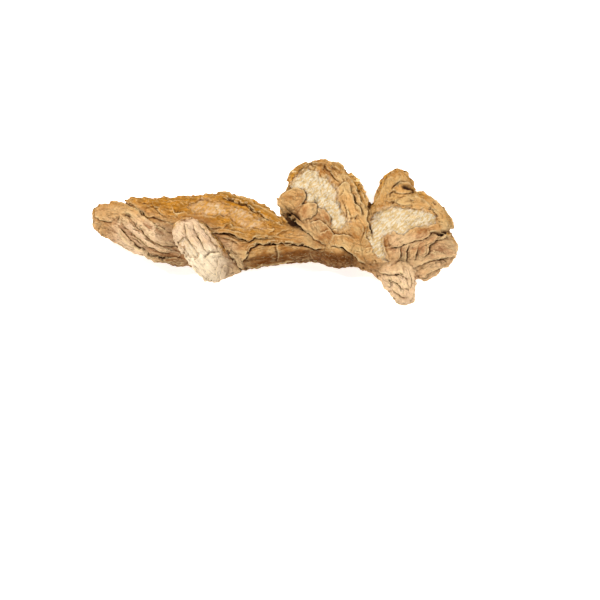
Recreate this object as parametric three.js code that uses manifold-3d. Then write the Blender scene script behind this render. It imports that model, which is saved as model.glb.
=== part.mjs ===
// A dried ginger root: one rhizome, grown as one piece, that lies on its broad side.
//
// Its body is a row of flattened lobes that run into each other. Each lobe is a spine with an
// oval section, the lobes are joined by a smooth minimum of their distances, and the skin is
// the surface where that distance is zero. Shrinkage then folds the skin: long wrinkles that
// follow each lobe, and single bold folds, each drawn as a line where it shows.
//
// Units are millimetres. +X runs along the root to its broad end, +Y to its branches, +Z up.
// The origin is the middle of the footprint's box, on the surface that the root rests on.
import * as THREE from "three";
import { mergeVertices } from "three/addons/utils/BufferGeometryUtils.js";
import Module from "manifold-3d";

// Driving dimensions.
const LENGTH = 105; // from the tip of the long finger to the broad end
const CELL = 1.36; // the mesh's spacing
const BLEND = 2.2; // how far two lobes run into each other
const FLAT_BLEND = 1.6; // how softly a lobe's flat side turns into its round edge
const GROUND = 0.35; // the level that the root's feet are worn down to

// Shrinkage wrinkles: how far apart they lie, how long they run and how high they stand.
const WRINKLE = { across: 3.6, along: 16, height: 0.6 };
const SHOWN_CALM = 0.65; // the share of the wrinkles that the upper side, with its own folds, lacks
// A bold fold's widths: its sharp side, its gentle side, and the gutter at its sharp foot.
const FOLD = { sharp: 0.9, gentle: 2.2, gutter: 1.1, taper: 2.5 };
const SCRAPE = { depth: 0.5, edge: 0.6, smoothing: 0.75 }; // where skin has come off

// The lobes. A station is [x, y, z, half width, half height], and flat is the share of the
// half height at which the top and the underside are levelled.
const LOBES = {
  longFinger: {
    flat: [1, 1],
    stations: [
      [-48.0, 0.9, 8.8, 4.5, 4.0],
      [-45.0, -0.2, 8.6, 5.4, 4.8],
      [-37.7, -3.2, 7.2, 5.4, 5.0],
      [-31.1, -5.8, 6.2, 5.6, 5.0],
      [-23.9, -7.0, 5.8, 4.9, 5.0],
      [-14.7, -9.0, 5.8, 4.8, 5.0],
    ],
  },
  web: {
    flat: [1, 1],
    stations: [
      [-38.0, 3.4, 4.8, 3.2, 3.4],
      [-30.0, -0.4, 5.4, 4.6, 4.2],
      [-20.0, -3.4, 6.0, 5.4, 5.2],
    ],
  },
  shoulder: {
    flat: [0.85, 0.9],
    stations: [
      [-40.2, 6.4, 5.2, 2.8, 3.8],
      [-32.5, 4.4, 5.6, 4.6, 4.8],
      [-23.9, 2.4, 6.2, 6.8, 5.8],
      [-15.8, 1.3, 6.8, 8.5, 6.6],
      [-7.8, -0.6, 6.8, 7.8, 6.4],
      [-1.4, -2.8, 6.4, 5.8, 5.6],
      [3.5, -4.3, 6.2, 4.6, 5.0],
    ],
  },
  axis: {
    flat: [0.9, 0.9],
    stations: [
      [-14.7, -10.4, 5.4, 4.4, 4.8],
      [-6.6, -8.8, 5.8, 4.7, 5.2],
      [3.5, -7.0, 6.0, 4.7, 5.4],
      [13.5, -6.6, 6.2, 4.6, 5.4],
      [22.7, -7.6, 6.4, 4.6, 5.2],
      [30.2, -11.3, 6.8, 4.4, 5.0],
    ],
  },
  middleLobe: {
    flat: [0.8, 0.85],
    stations: [
      [21.0, -5.6, 6.4, 9.5, 6.2],
      [16.6, 2.6, 7.0, 11.4, 6.8],
      [13.8, 10.4, 7.2, 10.4, 6.4],
      [13.4, 14.9, 7.2, 7.6, 5.0],
    ],
  },
  middleCorner: {
    flat: [1, 1],
    stations: [
      [10.0, 4.4, 7.6, 5.6, 4.8],
      [4.4, 6.8, 8.8, 2.8, 3.0],
    ],
  },
  recess: {
    flat: [1, 1],
    stations: [
      [5.3, 4.8, 5.0, 3.2, 3.4],
      [9.5, 1.5, 5.6, 4.2, 4.2],
    ],
  },
  rightLobe: {
    flat: [0.85, 0.85],
    stations: [
      [30.2, -8.8, 7.0, 6.5, 6.4],
      [36.0, -4.8, 7.6, 10.0, 7.0],
      [40.6, -1.4, 7.8, 11.0, 6.8],
      [44.6, -1.0, 7.6, 7.6, 5.6],
    ],
  },
  rightBud: {
    flat: [1, 1],
    stations: [
      [42.3, -8.4, 7.4, 5.6, 5.2],
      [47.8, -8.4, 7.6, 4.4, 4.4],
    ],
  },
  rightFoot: {
    flat: [1, 1],
    stations: [
      [40.9, -10.6, 6.6, 5.0, 5.0],
      [44.2, -12.2, 6.2, 3.8, 4.2],
      [43.0, -14.4, 5.8, 3.0, 3.4],
    ],
  },
  knob: {
    flat: [1, 1],
    stations: [
      [34.6, 3.2, 8.0, 6.8, 5.2],
      [35.0, 9.3, 8.0, 5.3, 4.6],
      [35.6, 12.0, 8.2, 4.5, 4.2],
      [36.2, 14.4, 8.3, 2.7, 2.9],
    ],
  },
  tail: {
    flat: [1, 1],
    stations: [
      [33.1, -12.0, 7.0, 4.6, 4.0],
      [35.6, -17.6, 7.2, 4.9, 3.2],
      [36.9, -23.6, 7.4, 2.9, 2.2],
    ],
  },
  shortFinger: {
    flat: [1, 1],
    stations: [
      [-24.2, -5.8, 13.4, 4.6, 4.0],
      [-20.4, -10.4, 11.6, 5.0, 4.4],
      [-17.3, -14.2, 8.6, 4.8, 5.0],
    ],
  },
  baseBud: {
    flat: [1, 1],
    stations: [
      [-16.4, -14.1, 8.4, 3.4, 3.8],
      [-12.2, -14.2, 7.6, 2.7, 3.0],
    ],
  },
  footUnderFinger: {
    flat: [1, 1],
    stations: [
      [-29.0, -5.6, 4.6, 4.2, 4.6],
      [-24.0, -6.6, 4.6, 4.2, 4.8],
    ],
  },
  footUnderMiddle: {
    flat: [1, 1],
    stations: [
      [12.0, 11.0, 4.9, 5.0, 5.0],
      [15.0, 11.6, 4.9, 5.0, 5.0],
    ],
  },
  footUnderRight: {
    flat: [1, 1],
    stations: [
      [36.5, -8.2, 5.0, 5.0, 5.2],
      [39.5, -7.0, 5.0, 5.0, 5.0],
    ],
  },
};

// Where the skin has folded or lifted in one bold line. The lines are drawn on a plane that faces up
// and to the front, as [x, v] with v = y sin(TILT) + z cos(TILT), and show on the skin that faces it.
// A fold stands height above the skin, and right of its line it falls off sharply, to drop below it.
const TILT = THREE.MathUtils.degToRad(62);
const FOLDS = [
  // hood
  { height: 1.0, drop: 0.9, line: [[-29.1, 0.3], [-31.6, 1.4], [-33.9, 2.6], [-36, 4.3], [-38, 6],
    [-40, 7.5], [-42, 8.6], [-44.6, 9.5], [-47.2, 9.8]] },
  // finger crest
  { height: 0.9, drop: 0.9, line: [[-26.2, -6.9], [-29.1, -6.6], [-32.5, -6.3], [-34.8, -6],
    [-36.8, -4.6], [-39.4, -2.9], [-41.7, -0.9], [-43.4, 1.4], [-44.6, 2.9]] },
  // finger fold
  { height: 0.7, drop: 0.6, line: [[-43.4, 6.3], [-41.1, 5.8], [-39.1, 3.7], [-37.4, 2], [-35.4, -0.3],
    [-33.4, -1.7], [-30.5, -2.6], [-27.3, -2.9]] },
  // finger line
  { height: 0.3, drop: 0.5, line: [[-43.4, 4.3], [-41.1, 2], [-38.8, -0.3], [-35.4, -2.6], [-33.1, -4],
    [-28.8, -4.6]] },
  // finger underline
  { height: 0.4, drop: 0.6, line: [[-36.5, -5.5], [-33.7, -6.9], [-29.6, -7.2], [-26.5, -8.1]] },
  // knuckle
  { height: 0.5, drop: 0.6, line: [[-44, 6.6], [-43.4, 4.9], [-44.6, 3.2]] },
  // finger tip
  { height: 0.4, drop: 0.5, line: [[-50.6, 5.2], [-48.6, 4.6], [-46.3, 4.3], [-44.3, 5.5]] },
  // hollow fold
  { height: 0.5, drop: 0.6, line: [[-42.9, 10.1], [-40, 9.2], [-38, 7.2], [-36, 6], [-33.1, 4.9],
    [-30.2, 3.9]] },
  // hollow flake
  { height: 0.5, drop: 0.5, line: [[-34.8, 9.5], [-32.8, 7.2], [-30.8, 5.8], [-29.6, 5.6]] },
  // hollow line
  { height: 0.3, drop: 0.5, line: [[-36.5, 3.2], [-33.7, 2.6], [-31.6, 1.2], [-29.9, 1]] },
  // shoulder rim
  { height: 0.6, drop: 1.0, line: [[-15.5, 11.5], [-13.5, 10.9], [-10.9, 10.1], [-7.8, 8.9], [-4.6, 6.9],
    [-2, 5.2], [0.9, 3.7]] },
  // shoulder front
  { height: 1.0, drop: 0.7, line: [[-18.7, 0.6], [-15.8, 1.2], [-13.2, 0.9], [-10.9, 0.3], [-8.6, -0.9],
    [-7.2, -1.4], [-5.5, -0.6], [-3.2, -0.3], [0.6, -0.9]] },
  // shoulder flake
  { height: 0.5, drop: 0.5, line: [[-20.1, 2.9], [-17.3, 2.3], [-14.4, 2.6], [-12.7, 3.5]] },
  // short slit
  { height: 0.5, drop: 0.8, line: [[-24.7, 3.7], [-24.5, 1.7], [-23.9, -0.6], [-23, -2.6]] },
  // short ridge
  { height: 0.7, drop: 0.6, line: [[-23, 3.7], [-21.9, 1.7], [-20.4, -1.2], [-19, -3.7], [-18.1, -5.5]] },
  // short lump
  { height: 0.7, drop: 0.8, line: [[-14.1, -6.3], [-15.8, -5.2], [-17.8, -5.5], [-19, -6.9]] },
  // short side
  { height: 0.6, drop: 0.6, line: [[-21, 3.7], [-19, 1.2], [-17.3, -0.9], [-15.5, -3.2], [-15, -5.8]] },
  // node crest
  { height: 0.7, drop: 0.7, line: [[-14.4, -2.6], [-12.4, -4.6], [-11.5, -6.6], [-9.5, -9.2],
    [-7.5, -10.1]] },
  // node flake
  { height: 0.5, drop: 0.6, line: [[-13.5, -4.3], [-11.8, -4], [-10.1, -5.5]] },
  // wall lip left
  { height: 0.9, drop: 0.8, line: [[-9.2, -7.8], [-7.8, -5.5], [-6.6, -3.2], [-4.6, -2.3], [-2, -2.3],
    [0.9, -2]] },
  // wall lip
  { height: 0.9, drop: 0.8, line: [[-0.9, -2.3], [2, -2], [5.5, -2.3], [8.6, -2.3], [11.5, -3.5],
    [14.1, -3.7]] },
  // wall lip right
  { height: 1.0, drop: 0.8, line: [[15.5, -3.5], [17, -2.3], [19.3, -2.9], [21.6, -4.3], [24.2, -6.3],
    [26.2, -8.3]] },
  // flake edge
  { height: 0.7, drop: 0.5, line: [[8.6, 2.3], [10.6, 0.3], [12.9, -1.4], [15.5, -3.2]] },
  // ring
  { height: 0.3, drop: 0.4, line: [[0.6, -1.4], [1.2, -3.5], [1.2, -5.8], [1.4, -8.1]] },
  // wall crease
  { height: 0.5, drop: 0.4, line: [[10.4, -4], [10.6, -6], [12.1, -8.1]] },
  // wall foot
  { height: 0.5, drop: 0.7, line: [[-7.8, -8.9], [-4.9, -8.9], [-2, -8.1], [2, -7.5], [6.3, -7.2]] },
  // curl
  { height: 1.3, drop: 2.0, line: [[0.6, 10.9], [2, 8.9], [3.7, 6.9], [5.5, 5.2], [8.1, 2.9],
    [10.9, -0.3]] },
  // middle rim
  { height: 0.7, drop: 0.4, line: [[3.2, 13.8], [4.6, 17.3], [7.5, 19.9], [11.8, 21], [16.1, 19.9],
    [19.6, 17.8]] },
  // pleat left
  { height: 0.9, drop: 0.9, line: [[25.3, 5.2], [24.5, 7.2], [22.7, 9.5], [21.6, 12.1], [21.3, 14.4],
    [20.1, 15.2], [18.4, 13.8]] },
  // pleat middle
  { height: 0.8, drop: 1.0, line: [[26.2, 7.2], [24.2, 10.1], [23.6, 12.4], [22.2, 14.1]] },
  // pleat right
  { height: 0.6, drop: 1.0, line: [[27, 8.1], [25.3, 11.5], [24.5, 14.1]] },
  // top crack
  { height: 0.4, drop: 0.6, line: [[14.1, 20.7], [15.8, 19.6], [17.3, 17.3], [19.3, 15.2]] },
  // flake one
  { height: 0.6, drop: 0.45, line: [[2.9, 12.4], [5.5, 13.5], [8.3, 12.9], [8.9, 11.8], [8.3, 9.2],
    [6.3, 8.1]] },
  // flake two
  { height: 0.6, drop: 0.45, line: [[6.3, 7.8], [8.3, 8.6], [12.1, 9.2], [11.8, 6.6], [10.6, 5.2],
    [8.6, 4.3]] },
  // flake three
  { height: 0.5, drop: 0.5, line: [[12.1, 8.1], [14.4, 7.2], [15.8, 4.9], [15.5, 2.9]] },
  // flake four
  { height: 0.5, drop: 0.5, line: [[9.5, 2.9], [12.7, 4.3], [15.8, 2], [17, 0], [15.8, -2.9]] },
  // flake five
  { height: 0.5, drop: 0.5, line: [[16.1, -2.3], [17.3, -0.3], [19.9, 0], [23, -0.9]] },
  // cleft
  { height: 0.5, drop: 1.0, line: [[27.9, -0.9], [26.8, 2], [26.2, 5.5], [26.8, 8.3]] },
  // right rim
  { height: 0.8, drop: 0.6, line: [[39.7, 12.7], [41.4, 12.1], [43.7, 10.9], [45.5, 9.2], [47.2, 7.2],
    [49.2, 6], [50.6, 4.6], [50.9, 1.7]] },
  // right inner
  { height: 0.5, drop: 0.5, line: [[38, 11.2], [40, 10.4], [41.4, 10.9], [43.2, 10.1], [44.6, 8.1],
    [46.6, 6.6], [47.2, 4.6]] },
  // fan top
  { height: 0.7, drop: 0.6, line: [[32.2, -3.7], [35.1, -2.9], [37.4, -2.3], [39.7, -1.4], [42.3, -0.9],
    [44.6, 0.6], [47.2, 1.2]] },
  // fan one
  { height: 0.6, drop: 0.6, line: [[34.8, -7.5], [35.7, -5.5], [35.7, -3.2]] },
  // fan two
  { height: 0.6, drop: 0.6, line: [[37.7, -8.3], [37.1, -6], [37.7, -4], [38.8, -2.3]] },
  // fan three
  { height: 0.6, drop: 0.6, line: [[39.4, -7.5], [40, -4.9], [41.1, -2.9]] },
  // fan four
  { height: 0.5, drop: 0.5, line: [[42, -7.2], [42.6, -4.9], [43.2, -2.6]] },
  // fan five
  { height: 0.4, drop: 0.4, line: [[32.5, -0.3], [32.8, -2.3], [34.2, -3.7]] },
  // patch leg
  { height: 0.5, drop: 0.4, line: [[32.8, -7.8], [31.9, -4.9], [31.1, -2.3], [31.1, 0]] },
  // hole
  { height: 0.3, drop: 1.6, line: [[46.9, 1.2], [48.9, 0.6], [51.2, 0.3]] },
  // bud lip
  { height: 0.8, drop: 1.0, line: [[42.6, -6.6], [43.2, -4.6], [44.3, -2.3], [46, -0.9], [48.6, -0.3],
    [50.9, -1.2]] },
  // foot fold
  { height: 0.6, drop: 0.7, line: [[39.7, -9.2], [41.7, -7.8], [45.2, -6.6], [49.2, -5.8], [52.1, -4.9]] },
  // foot fold low
  { height: 0.6, drop: 0.7, line: [[42.6, -12.1], [43.4, -10.9], [45.2, -9.5], [48.9, -8.6], [50.9, -7.2]] },
  // tail fold one
  { height: 0.7, drop: 0.8, line: [[29.3, -9.8], [32.8, -10.9], [35.7, -10.6], [38.6, -12.4]] },
  // tail fold two
  { height: 0.6, drop: 0.7, line: [[31.1, -12.4], [34.2, -12.9], [36.5, -14.4], [39.1, -15]] },
  // tail fold three
  { height: 0.5, drop: 0.6, line: [[33.1, -15], [36, -16.7], [38.6, -18.1]] },
  // knob notch
  { height: 0.7, drop: 1.4, line: [[40.3, 13.8], [38.8, 15], [37.4, 15.2], [35.7, 14.4], [33.9, 13.5]] },
  // knob ridge
  { height: 0.6, drop: 0.6, line: [[31.6, 11.8], [34.2, 12.9], [36.5, 12.4], [40, 12.7]] },
  // knob low
  { height: 0.5, drop: 0.6, line: [[31.1, 10.6], [33.1, 10.1], [36.2, 9.2], [40, 8.9]] },
];

// Holes and scars: [x, v, half length, half width, turn in degrees, depth].
const HOLLOWS = {
  cornerRecess: [5.4, 5.0, 3.4, 1.7, -40, 1.5],
  budHole: [48.8, 0.8, 2.3, 0.75, 8, 1.5],
  knobGash: [37.6, 14.0, 1.7, 0.55, -14, 1.1],
  knobNick: [35.9, 12.6, 0.8, 0.4, 40, 0.55],
  tipScar: [-25.2, 4.3, 1.3, 0.7, 10, 0.3],
  budScar: [47.8, -3.5, 2, 1.4, 20, 0.35],
};

// Where the skin has been scraped off: the outlines of the flat and smoother flesh.
const PATCHES = {
  shoulder: [[-24.7, 8.1], [-23.3, 9.5], [-21, 10.4], [-17.5, 10.4], [-14.7, 9.5], [-11.8, 8.6],
    [-8.9, 7.5], [-6, 6], [-3.2, 4], [-1.7, 2], [-4.3, 2.3], [-7.2, 2], [-10.1, 2.9], [-12.4, 5.2],
    [-15.2, 5.8], [-19.3, 6], [-23, 6.6]],
  middle: [[4, 13.8], [4.6, 15.5], [6, 17.3], [8.3, 18.7], [10.6, 19.3], [12.1, 18.7], [13.5, 17.5],
    [15.5, 16.7], [17, 15], [18.4, 13.5], [18.1, 10.6], [18.7, 8.1], [19.9, 6.6], [21.3, 3.7],
    [19.6, 1.7], [16.4, 2], [15.8, 5.5], [14.1, 7.2], [12.1, 8.6], [9.5, 9.5], [8.9, 12.1], [6.9, 13.2]],
  right: [[27, 2.6], [27.6, 4.6], [28.8, 6.6], [31.6, 8.3], [35.1, 8.3], [39.4, 7.8], [45.2, 6.9],
    [46.6, 5.5], [46, 3.5], [42.3, 2.6], [38.8, 1.2], [36.2, 0], [32.8, 0.6], [31.1, 0], [30.8, -2.3],
    [31.6, -5.2], [32.2, -7.8], [30.2, -7.2], [27.9, -4], [26.8, -0.9]],
  short: [[-26.8, -1.7], [-25.6, -0.3], [-23.9, -1.4], [-22.2, -3.5], [-21.3, -5.8], [-22.4, -7.2],
    [-24.7, -4.9]],
};

const STEPS = 5; // straight pieces between two stations
const SHARED = 1.2; // how soon one lobe's wrinkles give way to the next one's
const SLAB = 20; // the thickness of the block that cuts the feet level
// The corners of the block of space that holds the root.
const NET_LOW = new THREE.Vector3(-56.4, -29, -3);
const NET_HIGH = new THREE.Vector3(58, 26, 21);

// Samples a lobe's spine into straight pieces, each with its own frame: along, across and up.
function spineOf({ stations, flat }) {
  const places = stations.map(([x, y, z]) => new THREE.Vector3(x, y, z));
  const curve = new THREE.CatmullRomCurve3(places, false, "catmullrom", 0.5);
  const count = (stations.length - 1) * STEPS;
  const radiiAt = (step) => {
    const k = Math.min(Math.floor(step / STEPS), stations.length - 2);
    const t = step / STEPS - k;
    return [3, 4].map((n) => THREE.MathUtils.lerp(stations[k][n], stations[k + 1][n], t));
  };
  const pieces = [];
  let run = 0;
  for (let step = 0; step < count; step++) {
    const from = curve.getPoint(step / count);
    const along = curve.getPoint((step + 1) / count).sub(from);
    const length = along.length();
    along.divideScalar(length);
    const across = new THREE.Vector3(0, 0, 1).cross(along).normalize();
    const up = along.clone().cross(across);
    pieces.push({ from, length, along, across, up, radii: [radiiAt(step), radiiAt(step + 1)], run });
    run += length;
  }
  return { pieces, flat };
}

const SPINES = Object.values(LOBES).map(spineOf);

const smoothMin = (a, b, k) => {
  const h = Math.max(k - Math.abs(a - b), 0) / k;
  return Math.min(a, b) - (h * h * k) / 4;
};
const smoothMax = (a, b, k) => -smoothMin(-a, -b, k);

// The distance to one lobe, and where the point lies on it: along, across and up, in mm.
function lobeAt(point, { pieces, flat }) {
  const found = { distance: Infinity, along: 0, across: 0, up: 0 };
  const offset = new THREE.Vector3();
  for (const piece of pieces) {
    offset.copy(point).sub(piece.from);
    const t = THREE.MathUtils.clamp(offset.dot(piece.along) / piece.length, 0, 1);
    offset.addScaledVector(piece.along, -t * piece.length);
    const width = THREE.MathUtils.lerp(piece.radii[0][0], piece.radii[1][0], t);
    const height = THREE.MathUtils.lerp(piece.radii[0][1], piece.radii[1][1], t);
    const end = 0.9 * Math.min(width, height) + 0.1 * width;
    const across = offset.dot(piece.across);
    const up = offset.dot(piece.up);
    const past = offset.dot(piece.along);
    const share = Math.hypot(across / width, up / height, past / end);
    const slope = Math.hypot(across / width ** 2, up / height ** 2, past / end ** 2);
    let distance = (share * (share - 1)) / Math.max(slope, 1e-9);
    distance = smoothMax(distance, up - flat[0] * height, FLAT_BLEND);
    distance = smoothMax(distance, -up - flat[1] * height, FLAT_BLEND);
    if (distance < found.distance) {
      Object.assign(found, { distance, along: piece.run + t * piece.length + past, across, up });
    }
  }
  return found;
}

const bodyDistance = (point) =>
  SPINES.map((spine) => lobeAt(point, spine).distance).reduce((a, b) => smoothMin(a, b, BLEND));

// Repeatable value noise, from -1 to 1.
const hash = (i, j, k) => {
  const s = Math.sin(i * 127.1 + j * 311.7 + k * 74.7) * 43758.5453;
  return s - Math.floor(s);
};
function noise(x, y, z) {
  const cell = [x, y, z].map(Math.floor);
  const [u, v, w] = [x, y, z].map((c, n) => THREE.MathUtils.smoothstep(c - cell[n], 0, 1));
  let sum = 0;
  for (let corner = 0; corner < 8; corner++) {
    const [a, b, c] = [corner & 1, (corner >> 1) & 1, corner >> 2];
    const weight = (a ? u : 1 - u) * (b ? v : 1 - v) * (c ? w : 1 - w);
    sum += weight * hash(cell[0] + a, cell[1] + b, cell[2] + c);
  }
  return 2 * sum - 1;
}

// Long wrinkles: ridged noise, stretched along each lobe and bent by a slower noise.
function wrinkleHeight(point) {
  const hits = SPINES.map((spine) => lobeAt(point, spine));
  const nearest = Math.min(...hits.map((hit) => hit.distance));
  let sum = 0;
  let weights = 0;
  hits.forEach((hit, n) => {
    const weight = Math.exp(-(hit.distance - nearest) / SHARED);
    if (weight < 0.02) return;
    const l = hit.along / WRINKLE.along + 17 * n;
    const u = hit.across / WRINKLE.across;
    const v = hit.up / WRINKLE.across;
    const bend = 0.7 * noise(l * 1.7, u * 0.5, v * 0.5 + 9);
    sum += weight * (0.8 - 2.4 * Math.abs(noise(l, u + bend, v + bend)));
    weights += weight;
  });
  return (WRINKLE.height * sum) / weights;
}

// The nearest place of a line on the drawing plane: how far to its left the point is, how far
// from its nearer end that place is, both in mm, and the signed side of the nearest piece.
function besideLine(x, v, line) {
  const found = { distance: Infinity, side: 0, fromEnd: 0 };
  let run = 0;
  for (let n = 1; n < line.length; n++) {
    const [ax, av] = line[n - 1];
    const [dx, dv] = [line[n][0] - ax, line[n][1] - av];
    const length = Math.hypot(dx, dv);
    const t = THREE.MathUtils.clamp(((x - ax) * dx + (v - av) * dv) / length ** 2, 0, 1);
    const distance = Math.hypot(x - ax - t * dx, v - av - t * dv);
    if (distance < found.distance) {
      const side = dx * (v - av) - dv * (x - ax) < 0 ? -distance : distance;
      Object.assign(found, { distance, side, fromEnd: run + t * length });
    }
    run += length;
  }
  found.fromEnd = Math.min(found.fromEnd, run - found.fromEnd);
  return found;
}

const bell = (offset, width) => Math.exp(-((offset / width) ** 2));

function foldHeight(x, v) {
  let sum = 0;
  for (const { height, drop, line } of FOLDS) {
    const { distance, side, fromEnd } = besideLine(x, v, line);
    if (distance > 3 * FOLD.gentle) continue;
    const taper = THREE.MathUtils.smoothstep(fromEnd, -0.3 * FOLD.taper, FOLD.taper);
    const lip = bell(side, side > 0 ? FOLD.gentle : FOLD.sharp);
    const gutter = bell(side + FOLD.sharp + 0.6 * FOLD.gutter, FOLD.gutter);
    sum += taper * (height * lip - drop * gutter);
  }
  return sum;
}

function hollowDepth(x, v) {
  let sum = 0;
  for (const [atX, atV, long, wide, turn, depth] of Object.values(HOLLOWS)) {
    const angle = THREE.MathUtils.degToRad(turn);
    const [c, s] = [Math.cos(angle), Math.sin(angle)];
    const along = (x - atX) * c + (v - atV) * s;
    const across = (v - atV) * c - (x - atX) * s;
    sum += depth * bell(Math.hypot(along / long, across / wide), 1);
  }
  return sum;
}

// How far inside a scraped patch a point of the drawing plane lies, from 0 to 1.
function scraped(x, v) {
  let most = 0;
  for (const outline of Object.values(PATCHES)) {
    const closed = [...outline, outline[0]];
    const { distance } = besideLine(x, v, closed);
    let inside = false;
    for (let n = 1; n < closed.length; n++) {
      const [[ax, av], [bx, bv]] = [closed[n - 1], closed[n]];
      if (av > v !== bv > v && x < ax + ((v - av) * (bx - ax)) / (bv - av)) inside = !inside;
    }
    const depth = inside ? distance : -distance;
    most = Math.max(most, THREE.MathUtils.smoothstep(depth, -SCRAPE.edge, SCRAPE.edge));
  }
  return most;
}

const FACING = new THREE.Vector3(0, -Math.cos(TILT), Math.sin(TILT));

// How far the skin stands off the body at a point with this normal.
function reliefAt(point, normal) {
  const x = point.x;
  const v = point.y * Math.sin(TILT) + point.z * Math.cos(TILT);
  const shown = THREE.MathUtils.smoothstep(normal.dot(FACING), 0.05, 0.35);
  const bare = shown * scraped(x, v);
  const worn = THREE.MathUtils.smoothstep(point.z, GROUND, GROUND + 1);
  const calm = 1 - SHOWN_CALM * shown;
  const wrinkled = calm * wrinkleHeight(point) * (1 - SCRAPE.smoothing * bare);
  const drawn = shown * (foldHeight(x, v) - hollowDepth(x, v));
  return worn * wrinkled + drawn - SCRAPE.depth * bare;
}

// Where the corners of a grid square lie in and out crosswise, two sheets of skin would share
// one edge. The outer corner nearest the skin is moved in, which closes the gap between them.
function fillCrossedSquares(value, at, everyNode, cell) {
  let filled = 0;
  everyNode(0, 1, (i, j, k) => {
    for (const [a, b] of [[0, 1], [1, 2], [2, 0]]) {
      const corners = [[0, 0], [1, 0], [1, 1], [0, 1]].map(([s, t]) => {
        const corner = [i, j, k];
        corner[a] += s;
        corner[b] += t;
        return at(...corner);
      });
      const inside = corners.map((corner) => value[corner] < 0);
      if (inside[0] !== inside[2] || inside[1] !== inside[3] || inside[0] === inside[1]) continue;
      const [one, other] = corners.filter((corner) => value[corner] >= 0);
      value[value[one] < value[other] ? one : other] = -0.1 * cell;
      filled++;
    }
  });
  return filled > 0;
}

// Surface nets: a vertex in each cell that the surface crosses, a quad around each crossed edge.
function surfaceNets(distance, low, high, cell) {
  const count = high.clone().sub(low).divideScalar(cell).ceil().addScalar(1).toArray();
  const at = (i, j, k) => i + count[0] * (j + count[1] * k);
  const value = new Float64Array(count[0] * count[1] * count[2]);
  const point = new THREE.Vector3();
  const everyNode = (first, last, visit) => {
    for (let k = first; k < count[2] - last; k++)
      for (let j = first; j < count[1] - last; j++)
        for (let i = first; i < count[0] - last; i++) visit(i, j, k);
  };
  everyNode(0, 0, (i, j, k) => {
    value[at(i, j, k)] = distance(point.set(i, j, k).multiplyScalar(cell).add(low));
  });
  while (fillCrossedSquares(value, at, everyNode, cell));

  const vertices = [];
  const vertexOf = new Map();
  everyNode(0, 1, (i, j, k) => {
    const sum = new THREE.Vector3();
    let crossings = 0;
    for (let corner = 0; corner < 8; corner++)
      for (let axis = 0; axis < 3; axis++) {
        if ((corner >> axis) & 1) continue;
        const a = [i, j, k].map((c, n) => c + ((corner >> n) & 1));
        const b = a.map((c, n) => c + (n === axis ? 1 : 0));
        const [va, vb] = [value[at(...a)], value[at(...b)]];
        if (va < 0 === vb < 0) continue;
        point.set(...a).setComponent(axis, a[axis] + va / (va - vb));
        sum.add(point);
        crossings++;
      }
    if (!crossings) return;
    vertexOf.set(at(i, j, k), vertices.length);
    vertices.push(sum.divideScalar(crossings).multiplyScalar(cell).add(low));
  });

  const quads = [];
  everyNode(1, 1, (...here) => {
    for (let axis = 0; axis < 3; axis++) {
      const next = here.map((c, n) => c + (n === axis ? 1 : 0));
      const inside = value[at(...here)] < 0;
      if (inside === value[at(...next)] < 0) continue;
      const [p, q] = [(axis + 1) % 3, (axis + 2) % 3];
      const quad = [[0, 0], [1, 0], [1, 1], [0, 1]].map(([dp, dq]) => {
        const cellOf = [...here];
        cellOf[p] -= dp;
        cellOf[q] -= dq;
        return vertexOf.get(at(...cellOf));
      });
      quads.push(inside ? quad : quad.reverse());
    }
  });
  return { vertices, quads };
}

function gradientOf(distance, point) {
  const step = 0.05;
  const slopes = [0, 1, 2].map((axis) => {
    const [ahead, behind] = [point.clone(), point.clone()];
    ahead.setComponent(axis, point.getComponent(axis) + step);
    behind.setComponent(axis, point.getComponent(axis) - step);
    return (distance(ahead) - distance(behind)) / (2 * step);
  });
  return new THREE.Vector3(...slopes);
}

// Evens the net out: each vertex moves towards its neighbours' middle, then back to the surface.
function relax({ vertices, quads }, distance, rounds) {
  const neighbours = vertices.map(() => new Set());
  for (const quad of quads)
    quad.forEach((corner, n) => {
      neighbours[corner].add(quad[(n + 1) % 4]);
      neighbours[corner].add(quad[(n + 3) % 4]);
    });
  for (let round = 0; round < rounds; round++) {
    const middles = neighbours.map((near) => {
      const sum = new THREE.Vector3();
      near.forEach((n) => sum.add(vertices[n]));
      return sum.divideScalar(near.size);
    });
    vertices.forEach((vertex, n) => {
      vertex.lerp(middles[n], 0.5);
      const slope = gradientOf(distance, vertex);
      vertex.addScaledVector(slope, -distance(vertex) / slope.lengthSq());
    });
  }
}

// Splits each quad along its shorter diagonal.
const trianglesOf = ({ vertices, quads }) =>
  quads.flatMap(([a, b, c, d]) =>
    vertices[a].distanceTo(vertices[c]) < vertices[b].distanceTo(vertices[d])
      ? [[a, b, c], [a, c, d]]
      : [[a, b, d], [b, c, d]],
  );

const net = surfaceNets(bodyDistance, NET_LOW, NET_HIGH, CELL);
relax(net, bodyDistance, 2);
net.vertices.forEach((vertex) => {
  const normal = gradientOf(bodyDistance, vertex).normalize();
  vertex.addScaledVector(normal, reliefAt(vertex, normal));
});

// The body as a solid, cut level where its feet are worn.
const wasm = await Module();
wasm.setup();

function solidOf(vertices, triangles) {
  const vertProperties = new Float32Array(vertices.flatMap((vertex) => vertex.toArray()));
  const triVerts = new Uint32Array(triangles.flat());
  return new wasm.Manifold(new wasm.Mesh({ numProp: 3, vertProperties, triVerts }));
}

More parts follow.
